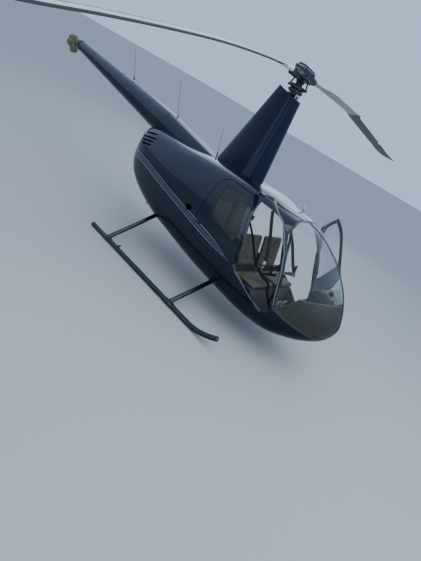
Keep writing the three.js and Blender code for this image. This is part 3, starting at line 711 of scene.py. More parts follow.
def turned(name, profile, sides=48):
    """A form turned about the Z axis from (radius, height) pairs."""
    line = bpy.data.meshes.new(name)
    edges = [(i, i + 1) for i in range(len(profile) - 1)]
    line.from_pydata([(radius, 0, z) for radius, z in profile], edges, [])
    piece = bpy.data.objects.new(name, line)
    bpy.context.scene.collection.objects.link(piece)
    round_z = {"steps": sides, "angle": math.tau, "center": (0, 0, 0), "axis": (0, 0, 1)}
    return edited(piece, (bpy.ops.mesh.spin, round_z), (bpy.ops.mesh.remove_doubles, {"threshold": 0.00005}),
                  (bpy.ops.mesh.normals_make_consistent, {"inside": False}))


def aimed(piece, at, direction):
    """Stands a turned piece at a place with its Z axis along a direction."""
    turn = Vector(direction).to_track_quat("Z", "Y").to_matrix().to_4x4()
    piece.data.transform(Matrix.Translation(at) @ turn)
    return piece


def joined(name, pieces):
    """Several parts of one casting as one piece."""
    deselect()
    for piece in pieces:
        piece.select_set(True)
    bpy.context.view_layer.objects.active = pieces[0]
    bpy.ops.object.join()
    whole = bpy.context.object
    whole.name = name
    return whole


console_room = pod_solid("console_room", 0.014)
shield_side = stations([(1.790, 0.956), (2.060, 0.956), (2.090, 1.060), (2.040, 1.130), (1.900, 1.175),
                        (1.800, 1.130)])
shield = slab(rounded(shield_side, 0.03, 5), -0.2, 0.2)
combined(shield, console_room, "INTERSECT", keep=True)


def bored(piece, radius, depth, at, out):
    """Drills a round hole to a depth on both sides of a place."""
    drill = turned("drill", [(0, -depth), (radius, -depth), (radius, depth), (0, depth)], 32)
    combined(piece, aimed(drill, at, out), "DIFFERENCE")


dials = []
for z, radius in ((1.09, 0.038), (1.01, 0.032)):
    for y in (-0.135, -0.045, 0.045, 0.135):
        at, out = ahead(1.80, y, z), (-1, 0, 0)
        bored(shield, radius - 0.004, 0.03, at, out)
        dial = turned("dial", [(0, -0.028), (radius, -0.028), (radius, 0.004), (radius - 0.006, 0.008),
                               (radius - 0.009, -0.002), (0, -0.002)], 32)
        dials.append(aimed(dial, at, out))
finished(shield, shield_grey, angle=30)
shield.name = "console_shield"
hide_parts("instrument_console")
finished(joined("console_dials", dials), matt_black)
head_half = 0.095
head_side = stations([(1.830, 1.060), (1.830, 1.135), (1.960, 1.255), (2.080, 1.190), (2.115, 1.125),
                      (2.060, 1.050)])
head = slab(rounded(head_side, 0.025, 5), -head_half, head_half)
combined(head, console_room, "INTERSECT")
wells = []
for x, z, radius in ((1.982, 1.196, 0.034), (2.048, 1.122, 0.024)):
    for side in (1, -1):
        at, out = ahead(x, side * head_half, z), (0, side, 0)
        bored(head, radius, 0.05, at, out)
        outer, inner = radius - 0.001, radius - 0.004
        well = turned("well", [(0, -0.045), (outer, -0.045), (outer, 0.003), (inner, 0.003), (inner, -0.035),
                               (0, -0.035)], 32)
        wells.append(aimed(well, at, out))
finished(head, pale_grey, angle=30)
head.name = "console_head"
finished(joined("console_air_holes", wells), matt_black)

# Controls: a centre stick with a swinging crossbar and two grips, a lever
# beside each front seat, and two steel pedals in front of each.
def cast_metal(name, colour, dark, roughness, metallic):
    material, shader, place = new_finish(name)
    grain = place.noise(240, 3).step(0.35, 0.7)
    stain_and_painted_shade = place.noise(14, 5).step(0.42, 0.7)
    feed(shader, "Base Color", (stain_and_painted_shade * 0.7 + grain * 0.2).mix((*colour, 1), (*dark, 1)))
    feed(shader, "Roughness", roughness + stain_and_painted_shade * 0.2)
    shader.inputs["Metallic"].default_value = metallic
    bumped(shader, grain, 0.0004, 0.6)
    return material


satin = cast_metal("satin_metal", (0.62, 0.64, 0.66), (0.25, 0.25, 0.25), 0.3, 0.7)
black = gloss_paint("black_trim", (0.008, 0.008, 0.009), (0.03, 0.03, 0.03))
stick = [
    tube("post", [ahead(1.33, 0, 0.496), ahead(1.30, 0, 0.72), ahead(1.25, 0, 0.96)], 0.0145),
    tube("bar", through([ahead(1.25, -0.33, 0.985), ahead(1.25, 0, 0.99), ahead(1.25, 0.33, 0.985)], 4),
         0.0125),
    block("pivot", ahead(1.228, -0.022, 0.945), ahead(1.272, 0.022, 1.01), 0.008),
]
for grip_y in (0.33, -0.33):
    route = [ahead(1.25, grip_y, 0.975), ahead(1.247, grip_y, 1.02), ahead(1.235, grip_y, 1.075)]
    stick.append(tube("grip", through(route, 4), 0.0175))
    cap = turned("cap", [(0, 0), (0.019, 0), (0.021, 0.012), (0.014, 0.024), (0, 0.026)], 24)
    stick.append(aimed(cap, ahead(1.236, grip_y, 1.07), (-0.1, 0, 1)))
stick = joined("cyclic_stick_and_grips", stick)
finished(stick, black, angle=40)
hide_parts("cyclic_stick")
pedal_shaft = 1.645
lever_routes = {
    "left": [(0.830, 0.551, 0.690), (0.930, 0.566, 0.760), (1.080, 0.568, 0.840), (1.200, 0.568, 0.890)],
    "right": [(0.900, 0.000, 0.717), (0.990, 0.000, 0.780), (1.100, 0.000, 0.850), (1.190, 0.000, 0.895)],
}
for side_name, side in both_sides:
    route = through([ahead(*place) for place in lever_routes[side_name]], 4)
    tube(f"collective_lever_{side_name}", route, 0.0095, black, sides=16)
    tube(f"collective_grip_{side_name}", route[-6:], 0.0165, matt_black)
    pedals = []
    for y in (0.21, 0.37):
        y *= side
        pedals.append(block("plate", ahead(1.583, y - 0.048, 0.700), ahead(1.594, y + 0.048, 0.790), 0.004))
        for rib in (-0.03, 0, 0.03):
            low, high = ahead(1.580, y - 0.04, 0.743 + rib), ahead(1.586, y + 0.04, 0.749 + rib)
            pedals.append(block("rib", low, high, 0.002))
        pedals.append(tube("arm", [ahead(1.590, y, 0.705), ahead(pedal_shaft, y, 0.560)], 0.009, sides=16))
    for name, start, end, radius in (("shaft", (0.195, 0.56), (0.385, 0.56), 0.011),
                                     ("post", (0.29, 0.56), (0.29, 0.4965), 0.013)):
        ends = [ahead(pedal_shaft, side * y, z) for y, z in (start, end)]
        pedals.append(tube(name, ends, radius, sides=16))
    pedal_set = joined(f"pedal_set_{side_name}", pedals)
    finished(pedal_set, satin, angle=30)
    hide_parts(f"pedals_{side_name}")

# Lap and shoulder belts: black webbing 48 mm wide, bolted to the seat boxes and the roof frame, hanging slack
# over the seats, with plated buckles. The right lap belt is drawn 85 mm wide, its extra width painted shade in
# the gap between the right seat's back and cushion.
webbing, webbing_shader, webbing_place = new_finish("black_webbing")
rib = webbing_place.node("ShaderNodeTexWave", {"wave_type": "BANDS", "bands_direction": "DIAGONAL"},
                         {"Vector": webbing_place, "Scale": 120, "Distortion": 0.4})
feed(webbing_shader, "Base Color", rib.mix((0.010, 0.010, 0.011, 1), (0.028, 0.028, 0.030, 1)))
webbing_shader.inputs["Roughness"].default_value = 0.85
bumped(webbing_shader, rib, 0.0008, 0.6)


def lofted(name, rings):
    """A closed form over rings of equal point counts, with flat ends."""
    count = len(rings[0])
    last = len(rings) * count - count
    faces = []
    for start in range(0, last, count):
        for i in range(count):
            after = (i + 1) % count
            faces.append((start + i, start + after, start + count + after, start + count + i))
    faces += [tuple(range(count)), tuple(range(last, last + count))]
    mesh = bpy.data.meshes.new(name)
    mesh.from_pydata([tuple(point) for ring in rings for point in ring], [], faces)
    piece = bpy.data.objects.new(name, mesh)
    bpy.context.scene.collection.objects.link(piece)
    return outward(piece)


def strap(name, places, facing, width, thick=0.0018):
    """Flat webbing along a line of places, its broad side towards a direction."""
    route = [Vector(point) for point in through(places, 8)]
    facing = Vector(facing)
    rings = []
    for before, at, after in zip([route[0], *route], route, [*route[1:], route[-1]]):
        along = (after - before).normalized()
        wide = along.cross(facing).normalized() * width / 2
        thin = wide.normalized().cross(along) * thick / 2
        rings.append([at + wide + thin, at - wide + thin, at - wide - thin, at + wide - thin])
    return finished(lofted(name, rings), webbing, angle=40)


# name, places, the way its broad side faces, width
belts = [
    ("shoulder_belt_right", [(0.665, -0.540, 1.455), (0.800, -0.400, 1.230), (0.968, -0.290, 0.960),
                             (1.100, -0.215, 0.845), (1.262, -0.225, 0.815), (1.305, -0.225, 0.725),
                             (1.360, -0.190, 0.640), (1.430, -0.100, 0.500)], (0.3, 1, 0.2), 0.048),
    ("roof_belt_right", [(0.880, -0.455, 1.670), (0.950, -0.470, 1.560), (1.040, -0.465, 1.400),
                         (1.120, -0.440, 1.190), (1.150, -0.415, 1.080)], (0, 1, 0.1), 0.048),
    # The right lap belt is 85 mm wide where the webbing is 48 mm: the extra width is painted shade of the gap
    # behind the cushion.
    ("lap_belt_and_gap_shade_right", [(0.900, -0.530, 0.832), (0.910, -0.400, 0.830), (0.912, -0.250, 0.829),
                        (0.910, -0.100, 0.830), (0.902, 0.000, 0.834)], (1, 0, 0.3), 0.085),
    ("shoulder_belt_left", [(0.680, 0.500, 1.450), (0.800, 0.470, 1.230), (0.950, 0.430, 0.990),
                            (1.060, 0.400, 0.840)], (0, 1, 0), 0.048),
    ("loose_belt_left", [(0.715, 0.505, 1.455), (0.900, 0.490, 1.290), (1.127, 0.450, 1.035),
                         (1.225, 0.450, 0.928)], (0, 1, 0), 0.048),
    ("lap_belt_left", [(0.902, 0.040, 0.834), (0.910, 0.150, 0.830), (0.912, 0.300, 0.829),
                       (0.910, 0.430, 0.830), (0.900, 0.530, 0.832)], (1, 0, 0.3), 0.048),
]
for name, places, facing, width in belts:
    strap(name, [ahead(*place) for place in places], facing, width)
reels = [block("reel", ahead(0.640, side * 0.49, 1.425), ahead(0.730, side * 0.55, 1.49), 0.012)
         for side in (1, -1)]
finished(joined("belt_reels", reels), matt_black)
buckle_places = [
    ((1.205, 0.437, 0.895), (1.255, 0.463, 0.945)), ((1.130, -0.430, 1.045), (1.165, -0.402, 1.095)),
    ((0.908, -0.090, 0.806), (0.922, -0.025, 0.856)), ((0.908, 0.045, 0.806), (0.922, 0.110, 0.856)),
]
buckles = [block("buckle", ahead(*low), ahead(*high), 0.005) for low, high in buckle_places]
finished(joined("belt_buckles", buckles), satin)

# Engine bay: the engine as a plain block, black with oil, and its rusty
# exhaust pipe under the belly.
oily, oily_shader, oily_place = new_finish("oily_casting")
film = oily_place.noise(8, 6).step(0.4, 0.7)
feed(oily_shader, "Base Color", film.mix((0.03, 0.03, 0.032, 1), (0.006, 0.006, 0.006, 1)))
feed(oily_shader, "Roughness", 0.7 - film * 0.4)
bumped(oily_shader, oily_place.noise(50, 4), 0.003, 0.8)
nodes["engine_block"].data.materials[0] = oily
scorched = cast_metal("scorched_steel", (0.14, 0.09, 0.06), (0.05, 0.03, 0.022), 0.6, 0.5)
exhaust_bends = [(-1.15, 0.729), (-1.15, 0.64), (-1.23, 0.56), (-1.40, 0.505)]
exhaust_line = through([ahead(x, -0.15, z) for x, z in exhaust_bends], 6)
bore_line = exhaust_line[6:] + [exhaust_line[-1] + np.array((-0.02, 0, -0.006))]
exhaust = tube("exhaust_stack", exhaust_line, 0.032, sides=28)
combined(exhaust, tube("bore", bore_line, 0.028, sides=28), "DIFFERENCE")
finished(exhaust, scorched)
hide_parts("exhaust_pipe")

# Cowls behind the firewall: formed sheets screwed over the engine bay, with
# cooling louvres high on both flanks, an intake hole and the spine over them.
cowl_line = 1.33
cowl_joint = mast_x - 1.45
boom_joint = mast_x - 1.86
spine_front = Vector((mast_x - 0.56, 0, 1.56))
spine_rear = Vector((mast_x - 1.9, 0, 1.696))


def cone(name, start, end, radius, end_radius, sides=64):
    """A closed cone or bar between two points."""
    along = end - start
    turn = along.to_track_quat("Z", "Y").to_euler()
    bpy.ops.mesh.primitive_cone_add(vertices=sides, radius1=radius, radius2=end_radius, depth=along.length,
                                    location=(start + end) / 2, rotation=turn)
    piece = bpy.context.object
    piece.name = name
    active(piece)
    bpy.ops.object.transform_apply(location=True, rotation=True, scale=True)
    return piece


spine_run = [(boom_joint + 0.001, 1), (mast_x, 1), (mast_x, 2.2), (boom_joint + 0.001, 2.2)]
spine = cone("spine", spine_front, spine_rear, 0.175, 0.212)
combined(spine, slab(spine_run, -reach, reach), "INTERSECT")
spine_hollow = cone("spine_hollow", spine_front + Vector((0.002, 0, 0)), spine_rear - Vector((0.002, 0, 0)),
                    0.162, 0.199)
cowling = combined(combined(copied(pod_outer, "cowling"), spine, "UNION"), spine_hollow, "DIFFERENCE")
combined(cowling, pod_inner, "DIFFERENCE", keep=True)
louvres = [
    ((-1.824, 1.478), (-1.554, 1.547)),
    ((-1.833, 1.413), (-1.480, 1.492)),
    ((-1.814, 1.362), (-1.495, 1.433)),
    ((-1.769, 1.318), (-1.502, 1.378)),
]
louvre_height = 0.024
for aft, fore in louvres:
    slot = stations([aft, fore, (fore[0], fore[1] + louvre_height), (aft[0], aft[1] + louvre_height)])
    for side in (1, -1):
        combined(cowling, side_slab(rounded(slot, 0.01), side), "DIFFERENCE")
intake_rim = []
for i in range(40):
    turn = math.tau * i / 40
    intake_rim.append((mast_x - 0.18 + 0.062 * math.cos(turn), 1.072 + 0.042 * math.sin(turn)))
combined(cowling, side_slab(intake_rim, -1), "DIFFERENCE")
bay_mouth = stations([(-1.345, 0.0), (-0.48, 0.0), (-0.48, 0.7), (-1.345, 0.7)])
combined(cowling, slab(bay_mouth, -0.23, 0.23), "DIFFERENCE")
for hole in cross_holes:
    combined(cowling, hole, "DIFFERENCE", keep=True)
bay_lining = gloss_paint("bay_lining", (0.05, 0.05, 0.048), (0.1, 0.09, 0.07))
cowls = [
    ("upper_cowl", mast_x - 2.02, firewall, cowl_line, 2.1),
    ("engine_cowl_left", cowl_joint, firewall, 0.0, cowl_line, gap, reach),
    ("engine_cowl_right", cowl_joint, firewall, 0.0, cowl_line, -reach, -gap),
    ("tail_cowl", mast_x - 2.02, cowl_joint, 0.0, cowl_line),
]
for name, *limits in cowls:
    cowl = combined(copied(cowling, f"{name}_skin"), region(*limits), "INTERSECT")
    finished(cowl, navy, angle=30)
    lined(cowl, bay_lining)
    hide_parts(name)

# Tail boom: a riveted aluminium cone in six bays, bolted to the airframe at
# its root and closed by a black cast ring that carries the tail gearbox.
boom_front = Vector((mast_x - 1.86, 0, 1.692))
boom_end = Vector((mast_x - 4.86, 0, 1.975))
boom_run = boom_end - boom_front
boom_root = boom_front - boom_run * (0.04 / 3.0)
boom_radii = (0.212, 0.096)
boom_root_radius = 0.2135
boom_bays = 6
boom_wall = 0.01


def boom_radius(share):
    return boom_radii[0] + (boom_radii[1] - boom_radii[0]) * share


boom = cone("boom_skin", boom_root, boom_end, boom_root_radius, boom_radii[1], 96)
combined(boom, cone("hollow", boom_root - boom_run * 0.001, boom_end + boom_run * 0.001,
                    boom_root_radius - boom_wall, boom_radii[1] - boom_wall, 64), "DIFFERENCE")
boom_room = [(-4.5, 0.8), (boom_joint, 0.8), (boom_joint, 2.4), (-4.5, 2.4)]
combined(boom, slab(boom_room, -reach, reach), "INTERSECT")
combined(boom, pod_outer, "DIFFERENCE", keep=True)
finished(boom, navy, angle=30)
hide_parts("tail_boom")

across = boom_run.normalized().cross(Vector((0, 1, 0)))
rivets = []
for bay in range(1, boom_bays):
    share = bay / boom_bays
    middle = boom_front + boom_run * share
    radius = boom_radius(share)
    band = cone(f"boom_strap_{bay}", middle - boom_run * 0.004, middle + boom_run * 0.004, radius + 0.0011,
                radius + 0.0009, 96)
    hollow = cone("hollow", middle - boom_run * 0.005, middle + boom_run * 0.005, radius - 0.002,
                  radius - 0.002, 96)
    combined(band, hollow, "DIFFERENCE")
    finished(band, navy, angle=30)
    for row in (-0.0028, 0.0028):
        for i in range(48):
            turn = math.tau * i / 48
            out = Vector((0, math.cos(turn), 0)) + across * math.sin(turn)
            rivets.append((middle + boom_run * row + out * (boom_radius(share + row) + 0.001), out))


def rivet_row(name, places, material):
    """Flat domed rivet heads, one at each place, each turned to face out."""
    bpy.ops.mesh.primitive_uv_sphere_add(segments=8, ring_count=6, radius=0.0032)
    head = bpy.context.object
    head.data.transform(Matrix.Diagonal((1, 1, 0.45, 1)))
    row = joined(name, [aimed(copied(head, "head"), at, out) for at, out in places])
    bpy.data.objects.remove(head)
    return finished(row, material)


rivet_row("boom_rivets", rivets, navy)

# Windscreen: two halves of clear formed acrylic in a black rubber seat, with
# a painted strip over their joint.
glass_inset = 0.003
glass_wall = 0.005
glass_outer = pod_solid("glass_outer", glass_inset)
glass_inner = pod_solid("glass_inner", glass_inset + glass_wall)
pane_skin = combined(copied(glass_outer, "pane_skin"), glass_inner, "DIFFERENCE", keep=True)


def clear_acrylic(name, tint, film_and_sky_reflection, facing, grazing):
    """See-through sheet, paler and bluer at a glancing view with a painted sky reflection over a dirty film,
    and painted dark and opaque low in the nose with the shaded ground seen through it.
    """
    material, shader, place = new_finish(name)
    past = place.axis(0) - mast_x - 1.695
    height = place.axis(2)
    top = past.maths("MINIMUM", past * 1.5 + 0.823, past * 0.42 + 0.945)
    # Low in the nose the sheet turns opaque and green-brown: painted shade, standing in for the shaded grass
    # seen through the glass.
    stain_and_painted_shade = (top - height + place.noise(6, 3) * 0.05).step(0.012, 0.042)
    shaded_ground_view = place.noise(70, 5).step(0.35, 0.68).mix((0.007, 0.009, 0.008, 1), (0.040, 0.035, 0.023, 1))
    # At a glancing view the colour turns pale blue: a painted sky reflection, mixed with the dirty film.
    rim = place.node("ShaderNodeLayerWeight", {}, {"Blend": 0.35}, 1)
    film = place.noise(1.7, 4).step(0.4, 0.75)
    feed(shader, "Base Color", stain_and_painted_shade.mix((rim * 0.8 + film * 0.2).mix((*tint, 1), (*film_and_sky_reflection, 1)), shaded_ground_view))
    thin = facing + rim * (grazing - facing) + film * 0.03
    feed(shader, "Alpha", thin.maths("MAXIMUM", thin, stain_and_painted_shade * 0.9))
    feed(shader, "Roughness", 0.03 + film * 0.05 + stain_and_painted_shade * 0.4)
    shader.inputs["Specular IOR Level"].default_value = 0.7
    return material


clear = clear_acrylic("clear_acrylic", (0.16, 0.19, 0.20), (0.42, 0.52, 0.62), 0.04, 0.36)
screen_cut = around(windscreen, -0.003)
for side_name, side in both_sides:
    pane = combined(copied(pane_skin, f"windscreen_pane_{side_name}"),
                    slab(screen_cut, *sorted((side * 0.001, side * reach))), "INTERSECT")
    finished(pane, clear, angle=30)
    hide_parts(f"windscreen_{side_name}")
strip = combined(copied(pod_outer, "windscreen_joint_strip"), slab(around(windscreen, -0.001), -0.016, 0.016),
                 "INTERSECT")
combined(strip, copied(glass_outer, "cut"), "DIFFERENCE")
finished(strip, matt_black, angle=30)
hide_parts("windscreen_strip")

# Doors: skins like the cabin's with a bulged acrylic window, on two outside
# hinges each; the left front one stands open, and only two of the four are left.
door_gap = 0.008
dim = clear_acrylic("dim_acrylic", (0.040, 0.038, 0.036), (0.11, 0.13, 0.16), 0.30, 0.62)
door_skin = combined(copied(pod_outer, "door_skin"), pod_inner, "DIFFERENCE", keep=True)
trim_outer = pod_solid("trim_outer", -0.0012)
trim_skin = combined(copied(trim_outer, "trim_skin"), pod_outer, "DIFFERENCE", keep=True)
doors = [
    {"name": "door_front_left", "outline": front_door, "window": front_window, "side": 1, "open": -98,
     "hinge": ((1.597, 0.540, 0.750), (1.420, 0.545, 1.140)), "arm": 0.035, "handle": 0.955,
     "body": "left_front_door", "glass": clear},
    {"name": "door_rear_right", "outline": rear_door, "window": rear_window, "side": -1, "open": 0,
     "hinge": ((0.900, -0.676, 0.870), (0.801, -0.668, 1.219)), "arm": 0.012, "handle": 0.060,
     "body": "right_rear_door", "glass": dim},
]
handle_height, handle_lift = 1.0, 0.018
knuckle = 0.028


def on_skin(x, z, side, proud):
    """A place on the skin of one side, or proud of it."""
    return (x, side * (side_y(x, z) + proud), z)


for door in doors:
    name, side, body = door["name"], door["side"], door["body"]
    pivot, upper = (Vector(ahead(*place)) for place in door["hinge"])
    swing = (Matrix.Translation(pivot) @ Matrix.Rotation(math.radians(door["open"]), 4, upper - pivot)
             @ Matrix.Translation(-pivot))
    outline = around(door["outline"], -door_gap)
    leaf = combined(copied(door_skin, f"{name}_skin"), side_slab(outline, side), "INTERSECT")
    combined(leaf, side_slab(door["window"], side), "DIFFERENCE")
    finished(leaf, navy, body, 30)
    lined(leaf, cabin_lining)
    outline = around(door["window"], -0.001)
    pane = combined(copied(pane_skin, f"{name}_pane"), side_slab(outline, side), "INTERSECT")
    finished(pane, door["glass"], body, 30)
    for piece, node, slot_name in ((leaf, name, "navy"), (pane, f"{name}_window", "glass")):
        piece.data.transform(swing)
        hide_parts(node)
    outline = around(door["window"], 0.009)
    seal = combined(copied(trim_skin, f"{name}_window_seal"), side_slab(outline, side), "INTERSECT")
    combined(seal, side_slab(around(door["window"], -0.006), side), "DIFFERENCE")
    x, z = mast_x + door["handle"], handle_height
    skin_y = side_y(x + 0.04, z)
    plate = block("plate", (x, side * (skin_y - 0.004), z - 0.016),
                  (x + 0.085, side * (skin_y + 0.004), z + 0.016), 0.003)
    lifted = side * (skin_y + handle_lift)
    bends = [(x + 0.012, side * skin_y, z), (x + 0.012, lifted, z), (x + 0.075, lifted, z)]
    pull = tube("pull", bends, 0.006, None, body, 12)
    handle = joined(f"{name}_handle", [plate, pull])
    knuckles, brackets = [], []
    for share in (0.14, 0.86):
        low = pivot.lerp(upper, share)
        high = low + (upper - pivot).normalized() * knuckle
        top = high + (upper - pivot).normalized() * knuckle
        clear_of_leaf = (low.x + door["arm"] * 0.6, low.y, low.z)
        fixed_end = on_skin(low.x + door["arm"], low.z, side, -0.002)
        leaf_end = on_skin(top.x - 0.045, top.z, side, -0.004)
        brackets.append(tube("pin", [low, high], 0.0045, sides=16))
        brackets.append(tube("arm", [low, clear_of_leaf, fixed_end], 0.004, sides=12))
        knuckles.append(tube("barrel", [high, top], 0.0055, None, body, 16))
        knuckles.append(tube("arm", [top, leaf_end], 0.004, None, body, 12))
    brackets = finished(joined(f"{name}_hinge_pins", brackets), matt_black, angle=30)
    knuckles = joined(f"{name}_hinge_arms", knuckles)
    for piece in (seal, handle, knuckles):
        finished(piece, matt_black, body, 30)
        piece.data.transform(swing)
bpy.data.objects.remove(door_skin)

# Coach lines: a silver band between two pinstripes of vinyl along each side,
# running out at the rear door, and two gold pinstripes under the windscreen.
silver_vinyl = gloss_paint("silver_vinyl", (0.045, 0.058, 0.080), (0.08, 0.08, 0.09))
pale_vinyl = gloss_paint("pale_vinyl", (0.21, 0.235, 0.27), (0.22, 0.22, 0.22))
gold_vinyl = gloss_paint("gold_vinyl", (0.17, 0.16, 0.12), (0.17, 0.16, 0.13))
band_rows = [
    (-1.950, 1.210, 1.115), (-1.650, 1.200, 1.112), (-1.350, 1.181, 1.092), (-1.000, 1.137, 1.050),
    (-0.550, 1.075, 0.995), (-0.150, 1.034, 0.946), (0.150, 0.999, 0.902), (0.450, 0.960, 0.875),
    (0.700, 0.892, 0.862), (0.815, 0.860, 0.856),
]
nose_rows = [
    (1.600, 0.742, 0.710), (1.770, 0.703, 0.672), (1.990, 0.677, 0.648), (2.125, 0.665, 0.638),
    (2.205, 0.656, 0.631),
]
stripes = [
    ("upper_pinstripe", 0.0, 0.09, pale_vinyl),
    ("band", 0.30, 0.66, silver_vinyl),
    ("lower_pinstripe", 0.86, 0.96, pale_vinyl),
]


def ribbon(rows, first, last):
    """The outline of a share of the band between an upper and a lower line."""
    edges = [[(x, upper + (lower - upper) * share) for x, upper, lower in rows] for share in (first, last)]
    return stations(edges[0] + edges[1][::-1])


def trim(name, cutter, material, holes=(), body="airframe"):
    """A thin sheet on the skin, cut to a form and cleared round some holes."""
    piece = combined(copied(trim_skin, name), cutter, "INTERSECT")
    for hole in holes:
        combined(piece, hole, "DIFFERENCE")
    finished(piece, material, body, 30)
    return piece


for side_name, side in both_sides:
    for kind, first, last, vinyl in stripes:
        band = ribbon(band_rows, first, last)
        holes = [side_slab(rear_door, side)]
        if side < 0:
            holes.append(side_slab(intake_rim, side))
        trim(f"{kind}_{side_name}", side_slab(band, side), vinyl, holes)
        if side < 0:
            leaf = side_slab(around(rear_door, -door_gap), side)
            on_door = combined(side_slab(band, side), leaf, "INTERSECT")
            trim(f"{kind}_rear_door", on_door, vinyl, body="right_rear_door")
    for kind, first, last in (("upper", 0.0, 0.2), ("lower", 0.7, 0.9)):
        line = slab(ribbon(nose_rows, first, last), *sorted((side * 0.02, side * reach)))
        trim(f"nose_pinstripe_{kind}_{side_name}", line, gold_vinyl)

# Trims of the cabin: a rubber seal round the windscreen, a pale strip up each door pillar, a pale metal strip
# on each sill edge that is a painted highlight of that edge, and the torn seam of the roof, its tear and crack
# drawn as black tapes of painted shade.
pillar_grey = moulded("pillar_grey", (0.13, 0.15, 0.16), 0.4)
sill_highlight_metal = cast_metal("sill_highlight", (0.30, 0.32, 0.33), (0.14, 0.14, 0.14), 0.4, 0.5)
torn_foam = moulded("torn_foam", (0.30, 0.24, 0.14), 0.9)
pillar_line = [(1.599, 0.747), (1.513, 0.983), (1.459, 1.139), (1.350, 1.350), (1.204, 1.533), (1.085, 1.632),
               (0.934, 1.690), (0.730, 1.776)]
sill_line = [(0.900, 0.868), (0.958, 0.808), (1.101, 0.750), (1.296, 0.655), (1.488, 0.565)]
roof_seam = [(0.651, 0.362), (0.744, 0.293), (0.806, 0.217), (0.941, 0.123), (1.022, 0.065), (1.105, 0.008),
             (1.165, 0.000)]


def taped(line, width):
    """The outline of a tape of one width laid along a line of places."""
    line = [Vector((mast_x + x, other)) for x, other in line]
    edges = []
    for side in (1, -1):
        edge = []
        for before, at, after in zip([line[0], *line], line, [*line[1:], line[-1]]):
            along = (after - before).normalized()
            edge.append(tuple(at + Vector((-along.y, along.x)) * side * width / 2))
        edges.append(edge)
    return edges[0] + edges[1][::-1]


def deck_slab(outline):
    """A thick plate through the roof, its outline given in the plan view."""
    plate = slab(outline, 1.6, 1.9)
    plate.data.transform(Matrix(((1, 0, 0, 0), (0, 0, 1, 0), (0, 1, 0, 0), (0, 0, 0, 1))))
    return outward(plate)


seal = slab(around(windscreen, 0.012), -reach, reach)
trim("windscreen_seal", seal, matt_black, [slab(windscreen, -reach, reach)])
for side_name, side in both_sides:
    trim(f"pillar_strip_{side_name}", side_slab(taped(pillar_line, 0.013), side), pillar_grey)
    # The sill strip is a pale metal band along the sill edge: a painted highlight of that edge.
    sill = side_slab(taped(sill_line, 0.009), side)
    trim(f"sill_highlight_strip_{side_name}", sill, sill_highlight_metal, [side_slab(front_door, side)])
    seam = taped([(x, side * y) for x, y in roof_seam], 0.008 if side > 0 else 0.012)
    trim(f"roof_seam_{side_name}", deck_slab(seam), matt_black)
screen_line = [(1.165, 1.752), (1.337, 1.718), (1.471, 1.678), (1.613, 1.614), (1.734, 1.553), (1.842, 1.486),
               (1.939, 1.411), (2.061, 1.290), (2.140, 1.160), (2.185, 1.000), (2.200, 0.840), (2.180, 0.700)]
joint_tape = slab(taped(screen_line, 0.06), -0.020, 0.020)
trim("windscreen_joint_tape", joint_tape, matt_black)
# The tear and the crack in the roof are black tapes on the skin, not cut through: their black is painted shade
# of the cabin seen through them.
roof_slit = [(0.626, -0.412), (0.668, -0.340), (0.722, -0.259)]
roof_crack = [(0.330, -0.160), (0.450, -0.300), (0.567, -0.428), (0.684, -0.500)]
trim("roof_slit", deck_slab(taped(roof_slit, 0.022)), matt_black)
trim("roof_crack", deck_slab(taped(roof_crack, 0.016)), matt_black)
torn_patch = [(0.550, -0.378), (0.600, -0.368), (0.655, -0.374), (0.662, -0.392), (0.612, -0.404),
              (0.560, -0.398)]
trim("roof_torn_patch", deck_slab(stations(torn_patch)), torn_foam)

# Boom end: a black cast ring bolted into the cone, and the tail rotor's
# gearbox, cast in a primed light alloy and held on by studs.
def bolts(name, places, size, material, body="airframe"):
    """Hexagon heads, each at a place and facing along its direction."""
    profile = [(0, 0), (size, 0), (size, size * 0.7), (size * 0.85, size * 0.85), (0, size * 0.85)]
    heads = [aimed(turned("bolt", profile, 6), at, out) for at, out in places]
    return finished(joined(name, heads), material, body)


primer = cast_metal("olive_primer", (0.16, 0.145, 0.075), (0.05, 0.045, 0.03), 0.5, 0.1)
steel = cast_metal("worn_steel", (0.42, 0.44, 0.46), (0.14, 0.14, 0.15), 0.3, 0.8)
dark_steel = cast_metal("dark_steel", (0.045, 0.05, 0.055), (0.015, 0.016, 0.018), 0.42, 0.6)
boom_line = boom_run.normalized()
ring = turned("boom_end_casting", [(0.05, 0), (0.098, 0), (0.101, 0.006), (0.101, 0.02), (0.09, 0.026),
                                   (0.078, 0.05), (0.074, 0.068), (0.05, 0.068), (0.05, 0)], 64)
finished(aimed(ring, boom_end + boom_line * 0.012, boom_line), black, angle=30)
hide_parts("boom_end_ring")
ring_bolts = []
for i in range(8):
    turn = math.tau * (i + 0.5) / 8
    out = Vector((0, math.cos(turn), 0)) + across * math.sin(turn)
    ring_bolts.append((boom_end + boom_line * 0.03 + out * 0.1, out))
bolts("boom_end_bolts", ring_bolts, 0.006, steel)
gearbox_axis = Vector((-0.18, 0, 0.245)).normalized()
gearbox_foot = Vector((mast_x - 5.11, 0, 1.8))
shaft_foot = Vector((mast_x - 5.2, -0.122, 1.925))
case = turned("case", [(0, 0), (0.05, 0), (0.072, 0.012), (0.08, 0.05), (0.082, 0.12), (0.09, 0.135),
                       (0.093, 0.15), (0.093, 0.165), (0.084, 0.175), (0.08, 0.22), (0.088, 0.24),
                       (0.09, 0.27), (0.075, 0.295), (0.04, 0.304), (0, 0.304)])
neck = turned("neck", [(0, 0), (0.046, 0), (0.046, 0.05), (0.05, 0.06), (0.064, 0.066), (0.064, 0.08),
                       (0.052, 0.09), (0.058, 0.16), (0, 0.16)])
